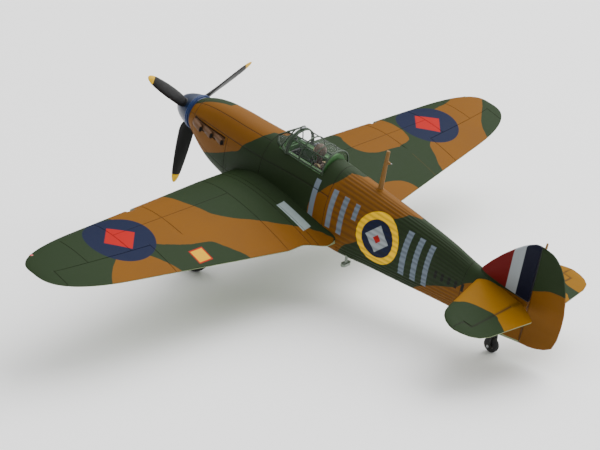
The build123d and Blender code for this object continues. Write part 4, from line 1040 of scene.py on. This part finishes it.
def main_hub(centre):
    """Main wheel hub with six spokes on each face."""
    hub = Shape()
    rim = [(-1.38, 0.66), (-1.38, 1.2), (-1.1, 1.4), (-0.8, 1.6), (-0.7, 2.4), (-1.15, 2.75), (-1.38, 2.85),
           (-1.38, 3.08), (1.38, 3.08), (1.38, 2.85), (1.15, 2.75), (0.7, 2.4), (0.8, 1.6), (1.1, 1.4),
           (1.38, 1.2), (1.38, 0.66)]
    hub.lathe(rim, centre, (1, 0, 0), "hub", 56, ring=True)
    for face in (-1, 1):
        for spoke in range(6):
            a = math.pi * spoke / 3
            way = np.array((0, math.cos(a), math.sin(a)))
            foot = np.array(centre) + (face * 0.86, 0, 0)
            hub.rod(foot + way * 1.2, foot + way * 2.55, 0.26, "hub", 0.2, 10)
    return hub


for side, word in SIDES:
    centre = (side * TRACK_HALF, MAIN_AXLE_Y, MAIN_AXLE_Z)
    place(build(f"main_tyre_{word}", main_tyre(centre)), f"{word}_wheel", (f"tyre_{word}",),
          40)
    place(build(f"main_hub_{word}", main_hub(centre)), f"{word}_wheel", (f"wheel_hub_{word}",),
          40)

centre = (0, TAIL_AXLE_Y, TAIL_AXLE_Z)


def tail_tyre():
    """Tail wheel tyre with two raised ribs."""
    tyre = Shape()
    tyre.lathe([(-0.74, 1.12), (-0.75, 1.6), (-0.5, 1.95), (-0.2, 2.05), (-0.12, 1.97), (0.12, 1.97),
                (0.2, 2.05),
                (0.5, 1.95), (0.75, 1.6), (0.74, 1.12)], centre, (1, 0, 0), "rubber", 56, ring=True)
    return tyre


place(build("tail_tyre", tail_tyre()), "tail_wheel", ("tail_wheel_tyre",), 40)


def tail_hub():
    """Tail wheel hub, dished on both faces."""
    hub = Shape()
    hub.lathe([(-0.74, 0.42), (-0.74, 0.6), (-0.5, 0.7), (-0.5, 0.9), (-0.74, 1.0), (-0.74, 1.09),
               (0.74, 1.09), (0.74, 1.0), (0.5, 0.9), (0.5, 0.7), (0.74, 0.6), (0.74, 0.42)],
              centre, (1, 0, 0), "tail_hub", 40, ring=True)
    return hub


place(build("tail_hub", tail_hub()), "tail_wheel", ("tail_wheel_hub",), 40)


# ------------------------------------------------------------------ cockpit
def arch(y, turn, grow=0.0):
    """The hood's cross-section: turn is 0 at the crown and 90 degrees at the sill."""
    turn = np.asarray(turn, float)
    x = (4.7 + grow) * np.sin(turn)
    rise = np.sign(np.cos(turn)) * np.abs(np.cos(turn)) ** 0.8
    return np.stack([x, y - 0.6 + 0.2 * rise, SILL + (5.7 + grow) * rise], -1)


def arch_out(turn):
    """Outward directions round the hood's cross-section."""
    return np.stack([np.sin(turn), 0 * turn, np.cos(turn)], -1)


HOOD_NOSE, HOOD_TAIL = 45.6, 58.2
FULL = np.linspace(-math.pi / 2, math.pi / 2, 49)       # from one sill over the crown to the other
HOOPS = ((HOOD_NOSE + 0.1, 0.45, 0.22), (49.8, 0.42, 0.18), (54.2, 0.3, 0.16), (HOOD_TAIL - 0.1, 0.5, 0.2))


def hood_shape():
    """Sliding hood: clear skin, four hoops and four rails."""
    hood = Shape()
    stations = np.linspace(HOOD_NOSE, HOOD_TAIL, 18)
    hood.sheet(np.stack([arch(y, FULL) for y in stations]), -arch_out(FULL)[None, :, :], "glass", 0.22)
    for y, wide, high in HOOPS:
        hood.strip(arch(y, FULL), arch_out(FULL), wide, high, "frame")
    for turn in (-1.53, -0.86, 0.86, 1.53):
        wide = 0.55 if abs(turn) > 1.5 else 0.34
        run = np.stack([arch(y, np.array(turn)) for y in np.linspace(HOOD_NOSE, HOOD_TAIL, 12)])
        hood.strip(run, np.repeat(arch_out(np.array([turn])), 12, 0), wide, 0.18, "frame")
    return hood


place(build("hood_glazing", hood_shape()), stands_for=("hood",), crease=40)


def rail(screen, start, end, outward, wide, high=0.2, finish="frame"):
    """Straight moulding between two points of the windscreen."""
    path = np.linspace(start, end, 5)
    screen.strip(path, np.repeat(np.array(outward, float)[None], 5, 0), wide, high, finish)


def screen_shape():
    """Windscreen: flat front pane, curved side panes and their frames."""
    screen = Shape()
    hoop_y = HOOD_NOSE - 0.5
    pane_edge = [(0, 43.6, 12.5), (0.7, 43.6, 12.5), (1.4, 43.6, 12.5), (1.45, 42.0, 11.3), (1.5, 40.2, 9.9),
                 (1.55, 38.5, 8.5), (2.7, 39.4, 8.0), (4.0, 41.8, 7.4), (4.7, 44.4, 7.0)]
    pane_turns = np.radians((0, 12, 24, 38, 50, 62, 74, 83, 90))
    foremost = np.array([(-x, y, z) for x, y, z in pane_edge[:0:-1]] + pane_edge)
    hoop = arch(hoop_y, np.concatenate([-pane_turns[:0:-1], pane_turns]), 0.05)
    share = np.linspace(0, 1, 10)[:, None, None]
    grid = foremost * (1 - share) + hoop * share
    inward = np.array((0, 44.5, 7.0)) - grid
    inward[..., 1] *= 0.3
    inward /= np.linalg.norm(inward, axis=-1, keepdims=True)
    screen.sheet(grid, inward, "glass", 0.2)
    pane = np.array([[(-1.4, 43.6, 12.5), (1.4, 43.6, 12.5)], [(-1.55, 38.5, 8.5), (1.55, 38.5, 8.5)]])
    screen.sheet(pane, np.array((0, 0.55, -0.6)), "glass", 0.2)
    forward = np.array((0, -0.63, 0.77))
    rail(screen, (-1.6, 43.65, 12.5), (1.6, 43.65, 12.5), (0, -0.3, 0.95), 0.45)
    rail(screen, (-1.7, 38.5, 8.5), (1.7, 38.5, 8.5), forward, 0.45)
    for side in (1, -1):
        rail(screen, (side * 1.45, 43.65, 12.5), (side * 1.6, 38.45, 8.5), (side * 0.5, -0.5, 0.6), 0.42)
        rail(screen, (side * 1.5, 38.5, 8.45), (side * 3.2, 40.2, 7.75), (side * 0.7, -0.3, 0.6), 0.5)
        rail(screen, (side * 3.1, 40.0, 7.8), (side * 4.75, 44.8, 7.05), (side * 0.7, -0.3, 0.6), 0.5)
        rail(screen, (side * 1.45, 43.6, 12.45), (side * 4.1, 42.0, 7.45), (side * 0.8, -0.3, 0.4), 0.3)
    screen.strip(arch(hoop_y, FULL, 0.05), arch_out(FULL), 0.6, 0.26, "frame")
    return screen


place(build("windscreen_glazing", screen_shape()), stands_for=("windscreen",), crease=40)


def mirror_shape():
    """Rear-view mirror on its post."""
    mirror = Shape()
    mirror_z = 13.4
    around = np.linspace(0, 2 * np.pi, 24, endpoint=False)
    mirror.rod((0, 44.9, 12.4), (0, 44.8, 13.3), 0.16, "frame")
    mirror.slab([(1.1 * math.cos(a) * (1 - 0.1 * math.cos(2 * a)), mirror_z + 0.32 * math.sin(a))
                 for a in around], 44.5, 45.05, "y", "frame", 0.1)
    mirror.slab([(0.95 * math.cos(a), mirror_z + 0.22 * math.sin(a)) for a in around],
                45.01, 45.11, "y", "steel", 0.03)
    return mirror


place(build("mirror", mirror_shape()), stands_for=("rear_view_mirror",))


def pilot_shape():
    """A calm, generic figure: leather helmet, goggles pushed up, harness straps."""
    pilot = Shape()
    pilot.ball((0, 54.2, 2.6), (1.6, 1.35, 3.0), "jacket")
    pilot.ball((0, 54.3, 5.4), (2.35, 1.3, 1.35), "jacket")
    pilot.rod((0, 54.1, 6.0), (0, 53.9, 8.7), 0.8, "jacket", 0.65)
    pilot.ball((0, 53.75, 10.05), (1.55, 1.72, 1.85), "helmet")
    pilot.ball((0, 52.95, 9.75), (1.12, 1.15, 1.4), "skin")
    pilot.ball((0, 51.85, 9.65), (0.2, 0.32, 0.36), "skin", 12)
    pilot.ball((0, 52.15, 8.85), (0.42, 0.3, 0.12), "skin", 12)
    for side in (1, -1):
        pilot.ball((side * 0.5, 52.1, 11.05), (0.48, 0.3, 0.4), "dial", 16)
        pilot.ball((side * 0.45, 51.93, 10.1), (0.2, 0.08, 0.06), "helmet", 10)
        pilot.ball((side * 1.5, 53.7, 9.9), (0.35, 0.6, 0.65), "helmet", 16)
        pilot.rod((side * 1.9, 54.0, 5.3), (side * 1.75, 52.4, 3.0), 0.62, "jacket", 0.55)
        pilot.rod((side * 1.75, 52.5, 3.05), (side * 0.75, 50.4, 3.3), 0.5, "jacket", 0.38)
        pilot.ball((side * 0.6, 50.1, 3.35), (0.42, 0.45, 0.4), "black_and_hole_shade", 14)
        pilot.rod((side * 0.9, 53.8, 0.9), (side * 1.3, 50.2, 1.9), 0.75, "jacket", 0.6)
        pilot.rod((side * 1.3, 50.3, 1.9), (side * 1.3, 48.0, -0.9), 0.55, "jacket", 0.45)
        strap = np.array([(1.35, 55.6, 6.3), (1.2, 54.7, 6.75), (1.0, 53.6, 6.3), (0.7, 52.95, 4.9),
                          (0.3, 52.75, 3.2), (0.2, 52.7, 2.2)]) * (side, 1, 1)
        lifted = np.array([(0, 0.4, 1), (0, 0, 1), (0, -0.6, 0.8), (0, -1, 0.3), (0, -1, 0), (0, -1, 0)])
        pilot.strip(strap, lifted, 0.5, 0.12, "harness")
    return shifted(pilot, -1.9)


place(build("pilot", pilot_shape()), stands_for=("pilot_figure",), crease=60)


def trim_shape():
    """Rear bulkhead, head pad, side tubes and throttle boxes."""
    trim = Shape()
    bulkhead = [(4.2, 7.05), (3.9, 8.8), (2.9, 10.4), (1.3, 11.4)]
    trim.slab([(-x, z) for x, z in bulkhead] + bulkhead[::-1], 56.95, 57.35, "y", "interior")
    trim.box((-0.95, 55.8, 8.6), (0.95, 56.4, 10.2), "jacket", 0.25)
    for side in (1, -1):
        trim.rod((side * 2.9, 42.6, 6.2), (side * 2.9, 57.0, 6.2), 0.22, "interior")
        trim.rod((side * 2.5, 44.0, 2.0), (side * 2.5, 56.0, 2.6), 0.18, "interior")
        for y in (46.5, 50.0, 53.5):
            trim.rod((side * 2.9, y, 6.2), (side * 2.5, y + 1.6, 2.2), 0.14, "interior")
        near, far = sorted((side * 2.0, side * 2.5))
        trim.box((near, 47.5, 3.8), (far, 49.6, 4.9), "instrument", 0.1)
        trim.rod((side * 2.2, 48.2, 4.8), (side * 2.1, 47.8, 5.7), 0.12, "steel")
    return trim


place(build("cockpit_trim", trim_shape()))


# ------------------------------------------------------------------ fittings
def landing_lamp(side):
    """Clear piece of the wing's leading edge, with a lamp behind it."""
    lens = Shape()
    spans = np.linspace(LIGHT_X - 1.22, LIGHT_X + 1.22, 9)[:, None]
    share = np.array([(0, 0.002, 0.006, 0.013, 0.024, 0.04, 0.06, 0.075, 0.088)])
    upper, lower = wing_skin(spans, share, 1), wing_skin(spans, share[:, 1:], -1)
    lens.tube(np.concatenate([upper[:, ::-1], lower], 1) * (side, 1, 1), "lamp")
    lens.lathe([(0, 0), (0.05, 0.35), (0.5, 0.95), (0.75, 1.0), (0.7, 0.85), (0.35, 0.1), (0.3, 0)],
               (side * LIGHT_X, 32.5, -5.45), (0, -1, 0), "steel", 24)
    return lens


def nav_lamp(side):
    """Coloured lamp near the wing tip."""
    tip_lamp = Shape()
    tip_lamp.ball((side * NAV_X, 37.1, -3.2), (0.85, 1.3, 0.5), "red_lamp" if side > 0 else "green_lamp", 20)
    return tip_lamp


def gun_ports(side):
    """Four short tubes in the leading edge."""
    guns = Shape()
    for x in (26.6, 28.9, 31.2, 35.4):
        nose_y, _, _, base, _ = (float(v) for v in wing_numbers(np.array(x)))
        muzzle = (side * x, nose_y - 0.25, base + 0.1)
        guns.lathe([(0, 0.28), (0, 0.5), (0.15, 0.55), (1.0, 0.6), (1.0, 0.28)], muzzle, (0, 1, 0),
                   "wing", 20, ring=True)
        # Painted shade: a near-black plug filling each gun's bore.
        guns.lathe([(0.25, 0), (0.25, 0.3), (1.0, 0.3), (1.0, 0)], muzzle, (0, 1, 0), "opening_shade", 16)
    return guns


def bay_ribs(side):
    """Ribs and pipes in the ceiling of a wheel well."""
    bay = Shape()
    near, far = sorted((side * 3.0, side * 11.8))
    for y in (31.5, 35.0, 38.5):
        bay.box((near, y - 0.2, -6.6), (far, y + 0.2, WELL_CEILING), "well")
    bay.rod((side * 4.5, 30.5, -6.9), (side * 4.5, 39.6, -6.9), 0.3, "steel")
    bay.rod((side * 9.8, 30.2, -6.8), (side * 9.8, 39.8, -6.8), 0.25, "well")
    bay.rod((side * 11.5, 32.4, -6.9), (side * 18.0, 32.1, -6.9), 0.35, "steel")
    return bay


for side, word in SIDES:
    place(build(f"landing_lamp_{word}", landing_lamp(side)), stands_for=(f"landing_light_{word}",))
    place(build(f"nav_lamp_{word}", nav_lamp(side)), stands_for=(f"nav_light_{word}",))

    place(build(f"gun_ports_{word}", gun_ports(side)))

    place(build(f"wheel_bay_ribs_{word}", bay_ribs(side)))


def mast_shape():
    """Aerial mast with its foot and wire hook."""
    mast = Shape()
    turn = np.linspace(0, 2 * np.pi, 20, endpoint=False)
    loops = []
    for z in np.linspace(MAST_FOOT, MAST_TOP - 0.1, 14):
        wide = np.interp(z, (MAST_FOOT, MAST_TOP), (0.52, 0.34))
        long = np.interp(z, (MAST_FOOT, MAST_TOP), (0.85, 0.52))
        lean = MAST_Y + 0.2 * (z - MAST_FOOT) / (MAST_TOP - MAST_FOOT)
        loops.append(np.stack([wide * np.cos(turn), lean + long * np.sin(turn), z + 0 * turn], -1))
    mast.tube(loops, "mast")
    mast.slab([(73.3, 18.1), (74.9, 17.6), (73.3, 16.6)], -0.16, 0.16, "x", "mast", 0.05)
    mast.rod((0, 74.4, 17.55), (0, 74.9, 17.75), 0.14, "steel")
    mast.lathe([(0, 0), (0, 1.15), (0.25, 0.95), (0.5, 0.55), (0.5, 0)], (0, MAST_Y, 9.35), (0, 0, 1),
               "fuselage", 24)
    return mast


place(build("aerial_mast", mast_shape()), stands_for=("antenna_mast",), crease=40)


# ------------------------------------------------------------------ fasteners, as Geometry Nodes
def fastener_tree(finish):
    """Put a shallow dome on every point, facing along the stored direction."""
    tree = bpy.data.node_groups.new("fasteners", "GeometryNodeTree")
    for name, kind, default in (("Spots", "NodeSocketGeometry", None), ("Radius", "NodeSocketFloat", 0.0002),
                                ("Rise", "NodeSocketFloat", 0.4), ("Seed", "NodeSocketInt", 7)):
        socket = tree.interface.new_socket(name, in_out="INPUT", socket_type=kind)
        if default is not None:
            socket.default_value = default
    tree.interface.new_socket("Solid", in_out="OUTPUT", socket_type="NodeSocketGeometry")
    made = {}
    for key, kind in (("inputs", "NodeGroupInput"), ("dome", "GeometryNodeMeshUVSphere"),
                      ("flat", "GeometryNodeTransform"), ("shape", "ShaderNodeCombineXYZ"),
                      ("facing", "GeometryNodeInputNamedAttribute"),
                      ("turn", "FunctionNodeAlignRotationToVector"),
                      ("size", "FunctionNodeRandomValue"), ("set", "GeometryNodeInstanceOnPoints"),
                      ("real", "GeometryNodeRealizeInstances"), ("paint", "GeometryNodeSetMaterial"),
                      ("output", "NodeGroupOutput")):
        made[key] = tree.nodes.new(kind)
    made["dome"].inputs["Segments"].default_value = 10
    made["dome"].inputs["Rings"].default_value = 6
    made["facing"].data_type = "FLOAT_VECTOR"
    made["facing"].inputs["Name"].default_value = "facing"
    made["turn"].axis = "Z"
    made["size"].inputs[2].default_value = 0.9
    made["size"].inputs[3].default_value = 1.1
    made["shape"].inputs[0].default_value = made["shape"].inputs[1].default_value = 1.0
    made["paint"].inputs["Material"].default_value = FINISH[finish]
    wires = (("inputs", "Radius", "dome", "Radius"), ("inputs", "Rise", "shape", "Z"),
             ("dome", "Mesh", "flat", "Geometry"), ("shape", "Vector", "flat", "Scale"),
             ("inputs", "Spots", "set", "Points"),
             ("flat", "Geometry", "set", "Instance"), ("facing", "Attribute", "turn", "Vector"),
             ("turn", "Rotation", "set", "Rotation"), ("inputs", "Seed", "size", "Seed"),
             ("size", 1, "set", "Scale"), ("set", "Instances", "real", "Geometry"),
             ("real", "Geometry", "paint", "Geometry"), ("paint", "Geometry", "output", "Solid"))
    for source, out, target, into in wires:
        tree.links.new(made[source].outputs[out], made[target].inputs[into])
    return tree


def fasteners(name, spots, finish, radius=0.17, rise=0.4, body="airframe"):
    """Spots are (point, outward direction) pairs in airframe millimetres."""
    points = stand([p for p, _ in spots])
    ways = np.array([w for _, w in spots], float)
    ways = np.stack([ways[:, 0], ways[:, 1] * COS_UP + ways[:, 2] * SIN_UP,
                     -ways[:, 1] * SIN_UP + ways[:, 2] * COS_UP], 1)
    mesh = bpy.data.meshes.new(name)
    mesh.from_pydata(points.tolist(), [], [])
    mesh.attributes.new("facing", "FLOAT_VECTOR", "POINT").data.foreach_set("vector", ways.ravel())
    made = bpy.data.objects.new(name, mesh)
    bpy.context.scene.collection.objects.link(made)
    tree = fastener_tree(finish)
    grow = made.modifiers.new("fasteners", "NODES")
    grow.node_group = tree
    wanted = {"Radius": radius / 1000, "Rise": rise, "Seed": 7}
    for item in tree.interface.items_tree:
        if item.in_out == "INPUT" and item.name in wanted:
            grow[item.identifier] = wanted[item.name]
    settle(made)
    place(made, body)


def body_spots(stations, degrees, side):
    """Fastener spots on the fuselage, at these stations and turns from the crown."""
    spots = []
    for y in stations:
        for turn in degrees:
            point, out = body_skin(y, math.radians(turn))
            spots.append((point.ravel() * (side, 1, 1), out.ravel() * (side, 1, 1)))
    return spots


def wing_spots(spans, shares, top, side):
    """Fastener spots on the upper or lower wing skin, at these spans and chord shares."""
    spots = []
    for x in spans:
        for s in shares:
            here = wing_skin(x, s, top)
            behind, beside = wing_skin(x, s + 0.01, top), wing_skin(x + 0.1, s, top)
            out = unit(np.cross(beside - here, behind - here)) * top
            spots.append((here * (side, 1, 1), out * (side, 1, 1)))
    return spots


for side, word in SIDES:
    spots = body_spots((12.6, 14.4, 16.6, 18.8, 21.0, 23.2, 26.4, 29.4, 32.4, 35.4, 37.6), (62.5, 33.0), side)
    spots += body_spots((12.6, 15.4, 18.2, 21.0, 24.4, 26.2, 30.0, 34.0, 37.6), (109, 115), side)
    spots += body_spots((24.6, 26.1), (72, 80, 88, 96, 104), side)
    spots += body_spots((39.0,), (20, 34, 48, 62, 76, 90, 104), side)
    fasteners(f"cowling_fasteners_{word}", spots, "fuselage", 0.17, 0.45)
    spots = wing_spots(np.arange(22.0, 41.5, 2.4), (0.30, 0.36, 0.52), 1, side)
    spots += wing_spots((9.9, 12.5, 18.5, 19.5), np.arange(0.08, 0.95, 0.06), 1, side)
    spots += wing_spots((41.6, 42.4), np.arange(0.08, 0.6, 0.06), 1, side)
    spots += wing_spots(np.arange(22.0, 57.0, 2.6), (0.30, 0.36), -1, side)
    spots += wing_spots((18.5, 19.5, 41.6, 42.4), np.arange(0.1, 0.6, 0.07), -1, side)
    fasteners(f"wing_fasteners_{word}", spots, "wing", 0.13, 0.35)

# ------------------------------------------------------------------ finishes of the kept parts
KEPT = {
    "tail_fork": "rubber", "tail_axle": "steel", "cockpit_tub": "interior", "seat": "interior",
    "headrest_plate": "interior", "instrument_panel": "instrument", "control_column": "instrument",
    "gunsight": "instrument", "assembly_screws": "steel", "propeller_hub": "black_and_hole_shade", "propeller_shaft": "steel",
    "shaft_collar": "brass", "nose_bush": "brass", "pitot_head": "steel", "footstep": "leg",
    "radiator_housing": "sky", "radiator_core": "core", "carburettor_intake": "sky",
    "rudder_aerial_post": "mast", "main_leg_port": "leg", "main_leg_starboard": "leg",
    "main_axle_port": "steel", "main_axle_starboard": "steel", "drag_strut_port": "leg",
    "drag_strut_starboard": "leg", "gear_door_port": "sky", "gear_door_starboard": "sky",
}
for node, finish in KEPT.items():
    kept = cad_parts[node]
    kept.data.materials.clear()
    kept.data.materials.append(FINISH[finish])

# ------------------------------------------------------------------ camera, floor and lights
camera = bpy.data.objects.new("camera", bpy.data.cameras.new("camera"))
bpy.context.scene.collection.objects.link(camera)
camera.data.lens, camera.data.sensor_width = 115.4, 36
AZIMUTH, ELEVATION, DISTANCE = math.radians(133.88), math.radians(22.55), 0.50253
aim = Vector((0.00138, -0.01873, 0.01566))
away = Vector((math.sin(AZIMUTH) * math.cos(ELEVATION), -math.cos(AZIMUTH) * math.cos(ELEVATION),
               math.sin(ELEVATION)))
camera.location = aim + away * DISTANCE
camera.rotation_euler = away.to_track_quat("Z", "Y").to_euler()
bpy.context.scene.camera = camera

floor_paint = Paint("studio_floor", 0.9)
floor_point = floor_paint.node("ShaderNodeTexCoord", out=3)
floor_paint.set("Base Color", floor_paint.shade(colour(250, 250, 250), 1.0 + 0.01 * floor_paint.noise(
    floor_point, 20.0)))
bpy.ops.mesh.primitive_plane_add(size=8, location=(0, 0, 0))
floor = bpy.context.object
floor.name = "floor"
floor.data.materials.append(floor_paint.material)


def soft_light(name, place_at, size, power):
    """Round area light that faces the middle of the floor."""
    light = bpy.data.objects.new(name, bpy.data.lights.new(name, "AREA"))
    light.data.shape, light.data.size, light.data.energy = "DISK", size, power
    light.location = place_at
    light.rotation_euler = Vector(place_at).to_track_quat("Z", "Y").to_euler()
    bpy.context.scene.collection.objects.link(light)


soft_light("key", (-1.0, 0.5, 1.2), 2.2, 50)
soft_light("top", (-0.5, -0.2, 1.4), 2.2, 22)
world = bpy.data.worlds.new("studio")
bpy.context.scene.world = world
world.use_nodes = True
world.node_tree.nodes["Background"].inputs["Color"].default_value = (1, 1, 1, 1)
world.node_tree.nodes["Background"].inputs["Strength"].default_value = 0.62
